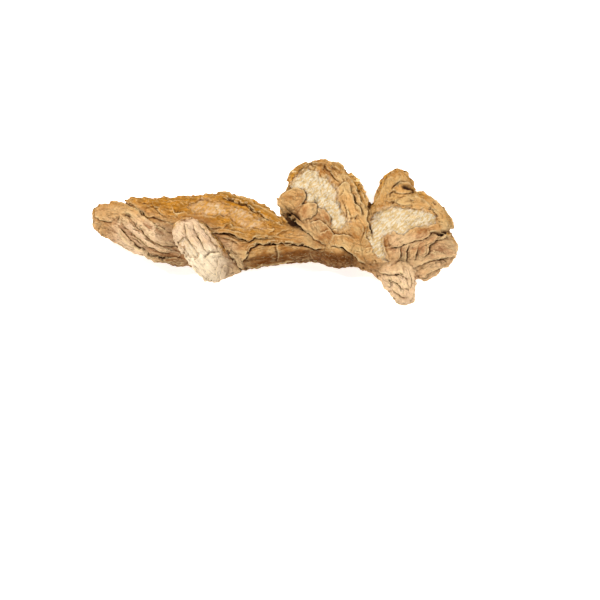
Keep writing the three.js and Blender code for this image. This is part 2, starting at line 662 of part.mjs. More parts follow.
const slab = new THREE.BoxGeometry(4 * LENGTH, 4 * LENGTH, SLAB).translate(0, 0, GROUND - SLAB / 2);
slab.deleteAttribute("normal");
slab.deleteAttribute("uv");
const slabMesh = mergeVertices(slab);
const slabSolid = new wasm.Manifold(
  new wasm.Mesh({
    numProp: 3,
    vertProperties: slabMesh.attributes.position.array,
    triVerts: new Uint32Array(slabMesh.index.array),
  }),
);
const worn = solidOf(net.vertices, trianglesOf(net)).subtract(slabSolid).getMesh();

const geometry = new THREE.BufferGeometry();
geometry.setAttribute("position", new THREE.BufferAttribute(new Float32Array(worn.vertProperties), 3));
geometry.setIndex(new THREE.BufferAttribute(new Uint32Array(worn.triVerts), 1));
geometry.computeBoundingBox();
const middle = geometry.boundingBox.getCenter(new THREE.Vector3());
const drawnLength = geometry.boundingBox.max.x - geometry.boundingBox.min.x;
geometry.translate(-middle.x, -middle.y, -GROUND);
geometry.scale(LENGTH / drawnLength, LENGTH / drawnLength, LENGTH / drawnLength);
geometry.computeBoundingBox();
geometry.computeVertexNormals();

const skin = new THREE.MeshStandardMaterial({ color: 0xd2a66c, roughness: 0.85, metalness: 0 });
const root = new THREE.Mesh(geometry, skin);
root.name = "ginger_root";

const model = new THREE.Group();
model.add(root);
export default model;
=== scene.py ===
# %% [markdown]
# # A dried ginger root
#
# A ginger root is a stem that grows under the ground. It branches into flattened lobes, and
# when it is dried its skin shrinks onto it in long wrinkles, bold folds and thin flakes. Where
# the skin has been scraped off, the flesh shows: paler, flatter and fibrous.
#
# This lesson makes the root as one surface. The body is a field of distances, so lobes melt
# into each other with no seams. The surface is then pushed in and out along its own normals
# by formulas for folds, wrinkles, flakes and fibres, worked out for all its points at once.

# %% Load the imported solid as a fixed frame
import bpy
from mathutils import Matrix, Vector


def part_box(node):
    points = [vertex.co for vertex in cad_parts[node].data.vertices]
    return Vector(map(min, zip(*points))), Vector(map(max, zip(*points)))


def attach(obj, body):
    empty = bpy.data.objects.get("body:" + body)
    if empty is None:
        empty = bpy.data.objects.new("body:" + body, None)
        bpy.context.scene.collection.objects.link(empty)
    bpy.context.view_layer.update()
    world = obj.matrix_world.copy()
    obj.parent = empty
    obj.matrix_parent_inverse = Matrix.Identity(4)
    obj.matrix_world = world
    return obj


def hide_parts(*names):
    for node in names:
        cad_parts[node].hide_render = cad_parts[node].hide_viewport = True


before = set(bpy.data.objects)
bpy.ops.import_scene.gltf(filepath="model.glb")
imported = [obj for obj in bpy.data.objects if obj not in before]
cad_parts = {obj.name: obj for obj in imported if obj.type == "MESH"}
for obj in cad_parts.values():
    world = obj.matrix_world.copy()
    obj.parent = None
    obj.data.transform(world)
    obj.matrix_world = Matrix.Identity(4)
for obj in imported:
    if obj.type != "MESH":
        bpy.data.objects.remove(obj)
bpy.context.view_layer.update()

# %% The other modules, and the unit that the shapes are drawn in
import bpy
import numpy as np
from mathutils import Vector

MM = 0.001

# %% [markdown]
# ## The lobes
#
# A ginger lobe is an oval rod, thickest near its middle and round at its end. Spheres or a
# subdivided cage could make one, but the joints between lobes would need work by hand. A
# spine with an oval section at each station is easier to fit to a real root: a station is
# moved or fattened, and the joints follow by themselves.

# %% Each lobe's stations: x, y, z, half width and half height, in millimetres
# flat is the share of the half height at which the top and the underside are levelled.
LOBES = {
    "long finger": {"flat": (1, 1), "stations": [
        (-48.0, 0.9, 8.8, 4.5, 4.0), (-45.0, -0.2, 8.6, 5.4, 4.8), (-37.7, -3.2, 7.2, 5.4, 5.0),
        (-31.1, -5.8, 6.2, 5.6, 5.0), (-23.9, -7.0, 5.8, 4.9, 5.0), (-14.7, -9.0, 5.8, 4.8, 5.0)]},
    "web": {"flat": (1, 1), "stations": [
        (-38.0, 3.4, 4.8, 3.2, 3.4), (-30.0, -0.4, 5.4, 4.6, 4.2), (-20.0, -3.4, 6.0, 5.4, 5.2)]},
    "shoulder": {"flat": (0.85, 0.9), "stations": [
        (-40.2, 6.4, 5.2, 2.8, 3.8), (-32.5, 4.4, 5.6, 4.6, 4.8), (-23.9, 2.4, 6.2, 6.8, 5.8),
        (-15.8, 1.3, 6.8, 8.5, 6.6), (-7.8, -0.6, 6.8, 7.8, 6.4), (-1.4, -2.8, 6.4, 5.8, 5.6),
        (3.5, -4.3, 6.2, 4.6, 5.0)]},
    "axis": {"flat": (0.9, 0.9), "stations": [
        (-14.7, -10.4, 5.4, 4.4, 4.8), (-6.6, -8.8, 5.8, 4.7, 5.2), (3.5, -7.0, 6.0, 4.7, 5.4),
        (13.5, -6.6, 6.2, 4.6, 5.4), (22.7, -7.6, 6.4, 4.6, 5.2), (30.2, -11.3, 6.8, 4.4, 5.0)]},
    "middle lobe": {"flat": (0.8, 0.85), "stations": [
        (21.0, -5.6, 6.4, 9.5, 6.2), (16.6, 2.6, 7.0, 11.4, 6.8), (13.8, 10.4, 7.2, 10.4, 6.4),
        (13.4, 14.9, 7.2, 7.6, 5.0)]},
    "middle corner": {"flat": (1, 1), "stations": [
        (10.0, 4.4, 7.6, 5.6, 4.8), (4.4, 6.8, 8.8, 2.8, 3.0)]},
    "recess": {"flat": (1, 1), "stations": [(5.3, 4.8, 5.0, 3.2, 3.4), (9.5, 1.5, 5.6, 4.2, 4.2)]},
    "right lobe": {"flat": (0.85, 0.85), "stations": [
        (30.2, -8.8, 7.0, 6.5, 6.4), (36.0, -4.8, 7.6, 10.0, 7.0), (40.6, -1.4, 7.8, 11.0, 6.8),
        (44.6, -1.0, 7.6, 7.6, 5.6)]},
    "right bud": {"flat": (1, 1), "stations": [
        (42.3, -8.4, 7.4, 5.6, 5.2), (47.8, -8.4, 7.6, 4.4, 4.4)]},
    "right foot": {"flat": (1, 1), "stations": [
        (40.9, -10.6, 6.6, 5.0, 5.0), (44.2, -12.2, 6.2, 3.8, 4.2),
        (43.0, -14.4, 5.8, 3.0, 3.4)]},
    "knob": {"flat": (1, 1), "stations": [
        (34.6, 3.2, 8.0, 6.8, 5.2), (35.0, 9.3, 8.0, 5.3, 4.6), (35.6, 12.0, 8.2, 4.5, 4.2),
        (36.2, 14.4, 8.3, 2.7, 2.9)]},
    "tail": {"flat": (1, 1), "stations": [
        (33.1, -12.0, 7.0, 4.6, 4.0), (35.6, -17.6, 7.2, 4.9, 3.2), (36.9, -23.6, 7.4, 2.9, 2.2)]},
    "short finger": {"flat": (1, 1), "stations": [
        (-24.2, -5.8, 13.4, 4.6, 4.0), (-20.4, -10.4, 11.6, 5.0, 4.4),
        (-17.3, -14.2, 8.6, 4.8, 5.0)]},
    "base bud": {"flat": (1, 1), "stations": [
        (-16.4, -14.1, 8.4, 3.4, 3.8), (-12.2, -14.2, 7.6, 2.7, 3.0)]},
    "foot under finger": {"flat": (1, 1), "stations": [
        (-29.0, -5.6, 4.6, 4.2, 4.6), (-24.0, -6.6, 4.6, 4.2, 4.8)]},
    "foot under middle": {"flat": (1, 1), "stations": [
        (12.0, 11.0, 4.9, 5.0, 5.0), (15.0, 11.6, 4.9, 5.0, 5.0)]},
    "foot under right": {"flat": (1, 1), "stations": [
        (36.5, -8.2, 5.0, 5.0, 5.2), (39.5, -7.0, 5.0, 5.0, 5.0)]},
}
BLEND = 2.2  # how far two lobes run into each other
FLAT_BLEND = 1.6  # how softly a flat side turns into the round edge
GROUND = 0.35  # the level that the root's feet are worn down to
print(len(LOBES), "lobes")

# %% A spine: Catmull-Rom points between the stations, with the radii run on in straight lines
STEPS = 5


def spine(stations):
    """Points and radii along the stations. Each cubic passes through two stations with slopes
    of half the way between their neighbours, and past each end the last step is repeated."""
    stations = np.array(stations)
    ends = 2 * stations[0] - stations[1], 2 * stations[-1] - stations[-2]
    padded = np.vstack([ends[0], stations, ends[1]])[:, :3]
    place = np.linspace(0, len(stations) - 1, (len(stations) - 1) * STEPS + 1)
    k = np.minimum(place.astype(int), len(stations) - 2)
    t = (place - k)[:, None]
    a, b, c, d = (padded[k + n] for n in range(4))
    points = 0.5 * (2 * b + (c - a) * t + (2 * a - 5 * b + 4 * c - d) * t**2
                    + (3 * b - 3 * c + d - a) * t**3)
    return points, stations[k, 3:] * (1 - t) + stations[k + 1, 3:] * t


# %% The distance to one lobe
FAR = 50.0  # stands for any distance that is too large to matter
MARGIN = 4.5  # a point further than this outside a lobe's box isn't measured


def smooth_min(a, b, k):
    """The smaller of a and b, rounded off by h * h * k / 4, with h = max(k - |a - b|, 0) / k."""
    h = np.maximum(k - np.abs(a - b), 0) / k
    return np.minimum(a, b) - h * h * k / 4


def smooth_max(a, b, k):
    """The larger of a and b, rounded off in the same way."""
    return -smooth_min(-a, -b, k)


def lobe_at(p, lobe):
    """The signed distance to a lobe, and the point's place on it: along, across and up.
    For a straight piece of the spine with half width w, half height h and end radius e, the
    distance is s (s - 1) / g, where s is the length of (across / w, up / h, past / e) and g
    that of (across / w^2, up / h^2, past / e^2)."""
    points, radii = spine(lobe["stations"])
    found = np.full((len(p), 4), [FAR, 0, 0, 0])
    size = radii.max() + MARGIN
    low, high = points.min(axis=0) - size, points.max(axis=0) + size
    near = np.flatnonzero(((p > low) & (p < high)).all(axis=1))
    q, best = p[near], found[near]
    run = 0.0
    for start, stop, (w0, h0), (w1, h1) in zip(points[:-1], points[1:], radii[:-1], radii[1:]):
        length = np.linalg.norm(stop - start)
        along = (stop - start) / length
        across = np.cross((0, 0, 1), along)
        across /= np.linalg.norm(across)
        up = np.cross(along, across)
        offset = q - start
        t = np.clip(offset @ along / length, 0, 1)
        w, h = w0 + (w1 - w0) * t, h0 + (h1 - h0) * t
        e = 0.9 * np.minimum(w, h) + 0.1 * w
        u, v, past = offset @ across, offset @ up, offset @ along - t * length
        s = np.sqrt((u / w) ** 2 + (v / h) ** 2 + (past / e) ** 2)
        g = np.sqrt((u / w**2) ** 2 + (v / h**2) ** 2 + (past / e**2) ** 2)
        distance = s * (s - 1) / np.maximum(g, 1e-9)
        distance = smooth_max(distance, v - lobe["flat"][0] * h, FLAT_BLEND)
        distance = smooth_max(distance, -v - lobe["flat"][1] * h, FLAT_BLEND)
        nearer = distance < best[:, 0]
        place = np.stack([distance, run + t * length + past, u, v], axis=1)
        best[nearer] = place[nearer]
        run += length
    found[near] = best
    return found


def body_distance(p):
    """The smooth minimum of the distances to all the lobes."""
    total = np.full(len(p), FAR)
    for lobe in LOBES.values():
        total = smooth_min(total, lobe_at(p, lobe)[:, 0], BLEND)
    return total


def body_slope(p, step=0.05):
    """The field's gradient, from the difference over a short step each way along each axis."""
    steps = step * np.eye(3)
    rises = [body_distance(p + s) - body_distance(p - s) for s in steps]
    return np.stack(rises, axis=1) / (2 * step)


heart = np.array([[16.0, 3.0, 7.0]])
print("distance at the middle lobe's heart:", body_distance(heart).round(2))

# %% [markdown]
# ## From distances to a surface
#
# Blender could turn a field into a mesh with metaballs or a remesh, but neither follows a
# formula exactly. Surface nets do: every cell of a grid that the surface crosses gets one
# point, and every grid edge that it crosses gets one four-sided face round it. The faces are
# even, which suits the pushing in and out that follows.

# %% Surface nets over the whole grid
CELL = 0.62  # the grid's pitch, in millimetres
GRID_LOW, GRID_HIGH = (-56.4, -30.0, -1.5), (56.0, 26.0, 20.0)


def fill_crossed_squares(value):
    """Where the corners of a grid square lie in and out crosswise, two walls would meet in one
    line. The outside corner that is nearer to the body is moved inside, until none are left."""
    moved = 1
    while moved:
        moved = 0
        for p, q in ((0, 1), (0, 2), (1, 2)):
            corners = []
            for i, j in ((0, 0), (1, 0), (0, 1), (1, 1)):
                part = [slice(None)] * 3
                part[p] = slice(i, value.shape[p] - 1 + i)
                part[q] = slice(j, value.shape[q] - 1 + j)
                corners.append(value[tuple(part)])
            a, b, c, d = (corner < 0 for corner in corners)
            crosswise = (a == d) & (b == c) & (a != b)
            outside = [np.where(corner < 0, np.inf, corner) for corner in corners]
            nearest = np.argmin(outside, axis=0)
            for n, corner in enumerate(corners):
                corner[crosswise & (nearest == n)] = -0.01
            moved += crosswise.sum()
    return value


def surface_nets(low, high, cell):
    """Points and four-sided faces of the surface where the body's distance is zero."""
    axes = [np.arange(a, b + cell, cell) for a, b in zip(low, high)]
    grid = np.stack(np.meshgrid(*axes, indexing="ij"), axis=-1)
    value = fill_crossed_squares(body_distance(grid.reshape(-1, 3)).reshape(grid.shape[:3]))
    size = np.array(value.shape)
    inside = value < 0

    def corner(array, c):
        return array[tuple(slice(c[n], size[n] - 1 + c[n]) for n in range(3))]

    corners = [(i, j, k) for i in (0, 1) for j in (0, 1) for k in (0, 1)]
    count = sum(corner(inside, c).astype(int) for c in corners)
    crossed = (count > 0) & (count < 8)
    total, hits = np.zeros((crossed.sum(), 3)), np.zeros(crossed.sum())
    for a in corners:
        for axis in np.flatnonzero(np.array(a) == 0):
            b = tuple(np.array(a) + np.eye(3, dtype=int)[axis])
            va, vb = corner(value, a)[crossed], corner(value, b)[crossed]
            cuts = (va < 0) != (vb < 0)
            point = np.tile(np.array(a, float), (len(va), 1))
            point[:, axis] += np.where(cuts, va / np.where(cuts, va - vb, 1), 0)
            total += point * cuts[:, None]
            hits += cuts
    points = (np.argwhere(crossed) + total / hits[:, None]) * cell + np.array(low)
    index = np.full(crossed.shape, -1)
    index[crossed] = np.arange(len(points))

    faces = []
    for axis in range(3):
        p, q = (axis + 1) % 3, (axis + 2) % 3
        here, there = [slice(None)] * 3, [slice(None)] * 3
        here[axis], there[axis] = slice(0, -1), slice(1, None)
        edges = np.argwhere(inside[tuple(here)] != inside[tuple(there)])
        edges = edges[(edges[:, [p, q]] > 0).all(axis=1)]
        quad = []
        for dp, dq in ((0, 0), (1, 0), (1, 1), (0, 1)):
            cells = edges.copy()
            cells[:, p] -= dp
            cells[:, q] -= dq
            quad.append(index[tuple(cells.T)])
        quad = np.stack(quad, axis=1)
        out = ~inside[tuple(edges.T)]
        quad[out] = quad[out][:, ::-1]
        faces.append(quad)
    return points, np.concatenate(faces)


points, faces = surface_nets(GRID_LOW, GRID_HIGH, CELL)
print(len(points), "points,", len(faces), "faces")

# %% Even the net out, and split each face in four


def neighbours(faces):
    """The two ends of each side of each face, both ways round."""
    pairs = np.concatenate([faces[:, [n, (n + 1) % 4]] for n in range(4)])
    return np.concatenate([pairs, pairs[:, ::-1]]).T


def neighbours_mean(points, here, there):
    """The mean place of each point's neighbours."""
    total = [np.bincount(here, points[there, axis], len(points)) for axis in range(3)]
    return np.stack(total, axis=1) / np.bincount(here)[:, None]


def relaxed(points, faces, rounds):
    """Each point moves halfway to its neighbours' mean, then down the slope onto the surface."""
    here, there = neighbours(faces)
    for _ in range(rounds):
        points = 0.5 * points + 0.5 * neighbours_mean(points, here, there)
        slope = body_slope(points)
        points = points - slope * (body_distance(points) / (slope**2).sum(axis=1))[:, None]
    return points


def split(points, faces):
    """New points at each face's middle and each edge's middle, and four faces for each."""
    edges = np.stack([faces, np.roll(faces, -1, axis=1)], axis=2).reshape(-1, 2)
    unique, which = np.unique(np.sort(edges, axis=1), axis=0, return_inverse=True)
    mid = which.reshape(-1, 4) + len(points)
    centre = np.arange(len(faces)) + len(points) + len(unique)
    made = np.vstack([points, points[unique].mean(axis=1), points[faces].mean(axis=1)])
    quads = [np.stack([faces[:, n], mid[:, n], centre, mid[:, n - 1]], axis=1) for n in range(4)]
    return made, np.concatenate(quads)


points = relaxed(points, faces, 2)
points, faces = split(points, faces)
points = relaxed(points, faces, 1)
normals = body_slope(points)
normals /= np.linalg.norm(normals, axis=1, keepdims=True)
print("fine net:", len(points), "points,", 2 * len(faces), "triangles")

# %% [markdown]
# ## Bold folds and scraped patches
#
# The boldest marks of a dried root are single folds, where skin has lifted into a lip with a
# gutter beside it, and patches where it has been scraped off. A sculptor would draw them by
# hand; this cell draws them as lines and outlines on a tilted drawing plane, which reach
# the skin that faces it.

# %% The drawing plane and its lines
TILT = np.radians(62)
FACING = np.array([0, -np.cos(TILT), np.sin(TILT)])
# Each fold: its height, its drop at the sharp side, which is right of the line, and the line's
# places on the drawing plane, in millimetres.
FOLDS = {
    "hood": (1.0, 0.9, [
        (-29.1, 0.3), (-31.6, 1.4), (-33.9, 2.6), (-36, 4.3), (-38, 6), (-40, 7.5), (-42, 8.6),
        (-44.6, 9.5), (-47.2, 9.8)]),
    "finger crest": (0.9, 0.9, [
        (-26.2, -6.9), (-29.1, -6.6), (-32.5, -6.3), (-34.8, -6), (-36.8, -4.6), (-39.4, -2.9),
        (-41.7, -0.9), (-43.4, 1.4), (-44.6, 2.9)]),
    "finger fold": (0.7, 0.6, [
        (-43.4, 6.3), (-41.1, 5.8), (-39.1, 3.7), (-37.4, 2), (-35.4, -0.3), (-33.4, -1.7),
        (-30.5, -2.6), (-27.3, -2.9)]),
    "finger line": (0.3, 0.5, [
        (-43.4, 4.3), (-41.1, 2), (-38.8, -0.3), (-35.4, -2.6), (-33.1, -4), (-28.8, -4.6)]),
    "finger underline": (0.4, 0.6, [(-36.5, -5.5), (-33.7, -6.9), (-29.6, -7.2), (-26.5, -8.1)]),
    "knuckle": (0.5, 0.6, [(-44, 6.6), (-43.4, 4.9), (-44.6, 3.2)]),
    "finger tip": (0.4, 0.5, [(-50.6, 5.2), (-48.6, 4.6), (-46.3, 4.3), (-44.3, 5.5)]),
    "hollow fold": (0.5, 0.6, [
        (-42.9, 10.1), (-40, 9.2), (-38, 7.2), (-36, 6), (-33.1, 4.9), (-30.2, 3.9)]),
    "hollow flake": (0.5, 0.5, [(-34.8, 9.5), (-32.8, 7.2), (-30.8, 5.8), (-29.6, 5.6)]),
    "hollow line": (0.3, 0.5, [(-36.5, 3.2), (-33.7, 2.6), (-31.6, 1.2), (-29.9, 1)]),
    "shoulder rim": (0.6, 1.0, [
        (-15.5, 11.5), (-13.5, 10.9), (-10.9, 10.1), (-7.8, 8.9), (-4.6, 6.9), (-2, 5.2),
        (0.9, 3.7)]),
    "shoulder front": (1.0, 0.7, [
        (-18.7, 0.6), (-15.8, 1.2), (-13.2, 0.9), (-10.9, 0.3), (-8.6, -0.9), (-7.2, -1.4),
        (-5.5, -0.6), (-3.2, -0.3), (0.6, -0.9)]),
    "shoulder flake": (0.5, 0.5, [(-20.1, 2.9), (-17.3, 2.3), (-14.4, 2.6), (-12.7, 3.5)]),
    "short slit": (0.5, 0.8, [(-24.7, 3.7), (-24.5, 1.7), (-23.9, -0.6), (-23, -2.6)]),
    "short ridge": (0.7, 0.6, [
        (-23, 3.7), (-21.9, 1.7), (-20.4, -1.2), (-19, -3.7), (-18.1, -5.5)]),
    "short lump": (0.7, 0.8, [(-14.1, -6.3), (-15.8, -5.2), (-17.8, -5.5), (-19, -6.9)]),
    "short side": (0.6, 0.6, [(-21, 3.7), (-19, 1.2), (-17.3, -0.9), (-15.5, -3.2), (-15, -5.8)]),
    "node crest": (0.7, 0.7, [
        (-14.4, -2.6), (-12.4, -4.6), (-11.5, -6.6), (-9.5, -9.2), (-7.5, -10.1)]),
    "node flake": (0.5, 0.6, [(-13.5, -4.3), (-11.8, -4), (-10.1, -5.5)]),
    "wall lip left": (1.2, 1.2, [
        (-9.2, -7.8), (-7.8, -5.5), (-6.6, -3.2), (-4.6, -2.3), (-2, -2.3), (0.9, -2)]),
    "wall lip": (1.2, 1.2, [
        (-0.9, -2.3), (2, -2), (5.5, -2.3), (8.6, -2.3), (11.5, -3.5), (14.1, -3.7)]),
    "wall lip right": (1.3, 1.2, [
        (15.5, -3.5), (17, -2.3), (19.3, -2.9), (21.6, -4.3), (24.2, -6.3), (26.2, -8.3)]),
    "flake edge": (0.7, 0.5, [(8.6, 2.3), (10.6, 0.3), (12.9, -1.4), (15.5, -3.2)]),
    "ring": (0.3, 0.4, [(0.6, -1.4), (1.2, -3.5), (1.2, -5.8), (1.4, -8.1)]),
    "wall crease": (0.5, 0.4, [(10.4, -4), (10.6, -6), (12.1, -8.1)]),
    "wall foot": (0.5, 0.7, [(-7.8, -8.9), (-4.9, -8.9), (-2, -8.1), (2, -7.5), (6.3, -7.2)]),
    "curl": (1.3, 2.0, [(0.6, 10.9), (2, 8.9), (3.7, 6.9), (5.5, 5.2), (8.1, 2.9), (10.9, -0.3)]),
    "middle rim": (0.7, 0.4, [
        (3.2, 13.8), (4.6, 17.3), (7.5, 19.9), (11.8, 21), (16.1, 19.9), (19.6, 17.8)]),
    "pleat left": (1.3, 1.4, [
        (25.3, 5.2), (24.5, 7.2), (22.7, 9.5), (21.6, 12.1), (21.3, 14.4), (20.1, 15.2),
        (18.4, 13.8)]),
    "pleat middle": (1.2, 1.5, [(26.2, 7.2), (24.2, 10.1), (23.6, 12.4), (22.2, 14.1)]),
    "pleat right": (0.9, 1.5, [(27, 8.1), (25.3, 11.5), (24.5, 14.1)]),
    "top crack": (0.4, 0.6, [(14.1, 20.7), (15.8, 19.6), (17.3, 17.3), (19.3, 15.2)]),
    "flake one": (0.85, 0.7, [
        (6.3, 8.1), (8.3, 9.2), (8.9, 11.8), (8.3, 12.9), (5.5, 13.5), (2.9, 12.4)]),
    "flake two": (0.85, 0.7, [
        (8.6, 4.3), (10.6, 5.2), (11.8, 6.6), (12.1, 9.2), (8.3, 8.6), (6.3, 7.8)]),
    "flake three": (0.7, 0.6, [(15.5, 2.9), (15.8, 4.9), (14.4, 7.2), (12.1, 8.1)]),
    "flake four": (0.75, 0.7, [(15.8, -2.9), (17, 0), (15.8, 2), (12.7, 4.3), (9.5, 2.9)]),
    "flake five": (0.7, 0.6, [(23, -0.9), (19.9, 0), (17.3, -0.3), (16.1, -2.3)]),
    "cleft": (0.5, 1.0, [(27.9, -0.9), (26.8, 2), (26.2, 5.5), (26.8, 8.3)]),
    "right rim": (0.8, 0.6, [
        (39.7, 12.7), (41.4, 12.1), (43.7, 10.9), (45.5, 9.2), (47.2, 7.2), (49.2, 6),
        (50.6, 4.6), (50.9, 1.7)]),
    "right inner": (0.5, 0.5, [
        (38, 11.2), (40, 10.4), (41.4, 10.9), (43.2, 10.1), (44.6, 8.1), (46.6, 6.6),
        (47.2, 4.6)]),
    "fan top": (0.7, 0.6, [
        (32.2, -3.7), (35.1, -2.9), (37.4, -2.3), (39.7, -1.4), (42.3, -0.9), (44.6, 0.6),
        (47.2, 1.2)]),
    "fan one": (0.9, 0.8, [(34.8, -7.5), (35.7, -5.5), (35.7, -3.2)]),
    "fan two": (0.9, 0.9, [(37.7, -8.3), (37.1, -6), (37.7, -4), (38.8, -2.3)]),
    "fan three": (0.9, 0.9, [(39.4, -7.5), (40, -4.9), (41.1, -2.9)]),
    "fan four": (0.8, 0.8, [(42, -7.2), (42.6, -4.9), (43.2, -2.6)]),
    "fan five": (0.4, 0.4, [(32.5, -0.3), (32.8, -2.3), (34.2, -3.7)]),
    "patch leg": (0.5, 0.4, [(32.8, -7.8), (31.9, -4.9), (31.1, -2.3), (31.1, 0)]),
    "hole": (0.3, 1.6, [(46.9, 1.2), (48.9, 0.6), (51.2, 0.3)]),
    "bud lip": (0.8, 1.0, [
        (42.6, -6.6), (43.2, -4.6), (44.3, -2.3), (46, -0.9), (48.6, -0.3), (50.9, -1.2)]),
    "foot fold": (0.9, 0.9, [
        (39.7, -9.2), (41.7, -7.8), (45.2, -6.6), (49.2, -5.8), (52.1, -4.9)]),
    "foot fold low": (0.9, 0.9, [
        (42.6, -12.1), (43.4, -10.9), (45.2, -9.5), (48.9, -8.6), (50.9, -7.2)]),
    "tail fold one": (0.7, 0.8, [(29.3, -9.8), (32.8, -10.9), (35.7, -10.6), (38.6, -12.4)]),
    "tail fold two": (0.6, 0.7, [(31.1, -12.4), (34.2, -12.9), (36.5, -14.4), (39.1, -15)]),
    "tail fold three": (0.5, 0.6, [(33.1, -15), (36, -16.7), (38.6, -18.1)]),
    "knob notch": (0.7, 1.4, [
        (40.3, 13.8), (38.8, 15), (37.4, 15.2), (35.7, 14.4), (33.9, 13.5)]),
    "knob ridge": (0.6, 0.6, [(31.6, 11.8), (34.2, 12.9), (36.5, 12.4), (40, 12.7)]),
    "knob low": (0.5, 0.6, [(31.1, 10.6), (33.1, 10.1), (36.2, 9.2), (40, 8.9)]),
}
PATCHES = {
    "shoulder": [(-24.7, 8.1), (-23.3, 9.5), (-21, 10.4), (-17.5, 10.4), (-14.7, 9.5),
        (-11.8, 8.6), (-8.9, 7.5), (-6, 6), (-3.2, 4), (-1.7, 2), (-4.3, 2.3), (-7.2, 2),
        (-10.1, 2.9), (-12.4, 5.2), (-15.2, 5.8), (-19.3, 6), (-23, 6.6)],
    "middle": [(4, 13.8), (4.6, 15.5), (6, 17.3), (8.3, 18.7), (10.6, 19.3), (12.1, 18.7),
        (13.5, 17.5), (15.5, 16.7), (17, 15), (18.4, 13.5), (18.1, 10.6), (18.7, 8.1),
        (19.9, 6.6), (21.3, 3.7), (19.6, 1.7), (16.4, 2), (15.8, 5.5), (14.1, 7.2), (12.1, 8.6),
        (9.5, 9.5), (8.9, 12.1), (6.9, 13.2)],
    "right": [(27, 2.6), (27.6, 4.6), (28.8, 6.6), (31.6, 8.3), (35.1, 8.3), (39.4, 7.8),
        (45.2, 6.9), (46.6, 5.5), (46, 3.5), (42.3, 2.6), (38.8, 1.2), (36.2, 0), (32.8, 0.6),
        (31.1, 0), (30.8, -2.3), (31.6, -5.2), (32.2, -7.8), (30.2, -7.2), (27.9, -4),
        (26.8, -0.9)],
    "short": [(-26.8, -1.7), (-25.6, -0.3), (-23.9, -1.4), (-22.2, -3.5), (-21.3, -5.8),
        (-22.4, -7.2), (-24.7, -4.9)],
}

# %% Frills, holes and scars
# Frills: torn skin that stands out along a lobe's rim.
FRILLS = {
    "middle curl": [(25, 9.2), (23.9, 12.1), (23, 14.7), (21.6, 16.7), (19.6, 18.1)],
    "middle outer curl": [(26.8, 8.3), (26.2, 11.5), (25.3, 14.4), (23.9, 16.7), (22.2, 18.4)],
    "middle top": [(21, 19), (18.4, 20.7), (15.5, 21.6), (12.9, 22.2)],
    "middle left top": [(9.5, 21.6), (6.9, 20.4), (4.9, 18.4), (3.5, 15.8)],
    "right frill": [(51.5, 1.7), (50.9, 4.6), (48.9, 6.9), (46.9, 8.9), (44.6, 10.9),
        (42.3, 12.4), (40, 13.2)],
    "right inner frill": [(46.3, 6.6), (44.9, 8.1), (43.2, 9.5), (41.1, 10.9), (39.1, 11.2)],
    "bud frill": [(49.9, -8.4), (51.3, -6.2), (52, -3.5), (51.6, -0.9)],
    "knob frill": [(32.2, 15), (31.1, 12.9), (29.9, 10.6), (28.5, 8.3)],
    "shoulder back": [(2.3, 4.3), (-0.9, 6.3), (-4.3, 8.3), (-7.8, 10.4), (-11.8, 11.8),
        (-16.1, 12.7)],
}
# Each hole or scar: x, v, half length, half width, turn in degrees, depth.
HOLLOWS = {
    "corner recess": (5.4, 5.0, 3.4, 1.7, -40, 1.5),
    "bud hole": (48.8, 0.8, 2.3, 0.75, 8, 1.5),
    "knob gash": (38.5, 13.7, 2.1, 0.6, -26, 1.2),
    "knob nick": (36.0, 14.9, 1.0, 0.35, 35, 0.55),
    "tip scar": (-25.2, 4.3, 1.3, 0.7, 10, 0.3),
    "bud scar": (47.8, -3.5, 2, 1.4, 20, 0.35),
}
for kind, drawn in (("folds", FOLDS), ("patches", PATCHES), ("frills", FRILLS), ("hollows", HOLLOWS)):
    print(len(drawn), kind)

# %% How a line reaches the skin
DRAWN = np.stack([points[:, 0], points[:, 1] * np.sin(TILT) + points[:, 2] * np.cos(TILT)], axis=1)


def ease(low, high, value):
    """0 below low, 1 above high, and t * t * (3 - 2 t) between."""
    t = np.clip((value - low) / (high - low), 0, 1)
    return t * t * (3 - 2 * t)


def bell(offset, width):
    """1 at no offset, falling off on both sides: e to the minus (offset / width) squared."""
    return np.exp(-((offset / width) ** 2))


def beside_line(at, line):
    """How far each point is from a line, signed: over zero to its left and under zero to its
    right, and how far along from the line's nearer end."""
    line = np.array(line, float)
    distance, side, place = np.full(len(at), 1e9), np.zeros(len(at)), np.zeros(len(at))
    run = 0.0
    for a, b in zip(line[:-1], line[1:]):
        length = np.hypot(*(b - a))
        t = np.clip((at - a) @ (b - a) / length**2, 0, 1)
        off = at - a - t[:, None] * (b - a)
        far = np.hypot(off[:, 0], off[:, 1])
        turn = (b - a)[0] * (at - a)[:, 1] - (b - a)[1] * (at - a)[:, 0]
        nearer = far < distance
        distance = np.where(nearer, far, distance)
        side = np.where(nearer, np.where(turn < 0, -far, far), side)
        place = np.where(nearer, run + t * length, place)
        run += length
    return side, np.minimum(place, run - place)


def inside_outline(at, outline):
    """True where a level ray from the point crosses the outline an odd number of times."""
    outline = np.array(outline, float)
    odd = np.zeros(len(at), bool)
    for a, b in zip(outline, np.roll(outline, -1, axis=0)):
        spans = (a[1] > at[:, 1]) != (b[1] > at[:, 1])
        cut = a[0] + (at[:, 1] - a[1]) * (b[0] - a[0]) / np.where(spans, b[1] - a[1], 1)
        odd ^= spans & (at[:, 0] < cut)
    return odd


# %% Noise that is the same on every run


def lattice(i, j, k):
    """A repeatable number from 0 to 1 for each cell: the fraction of a large sine."""
    s = np.sin(i * 127.1 + j * 311.7 + k * 74.7) * 43758.5453
    return s - np.floor(s)


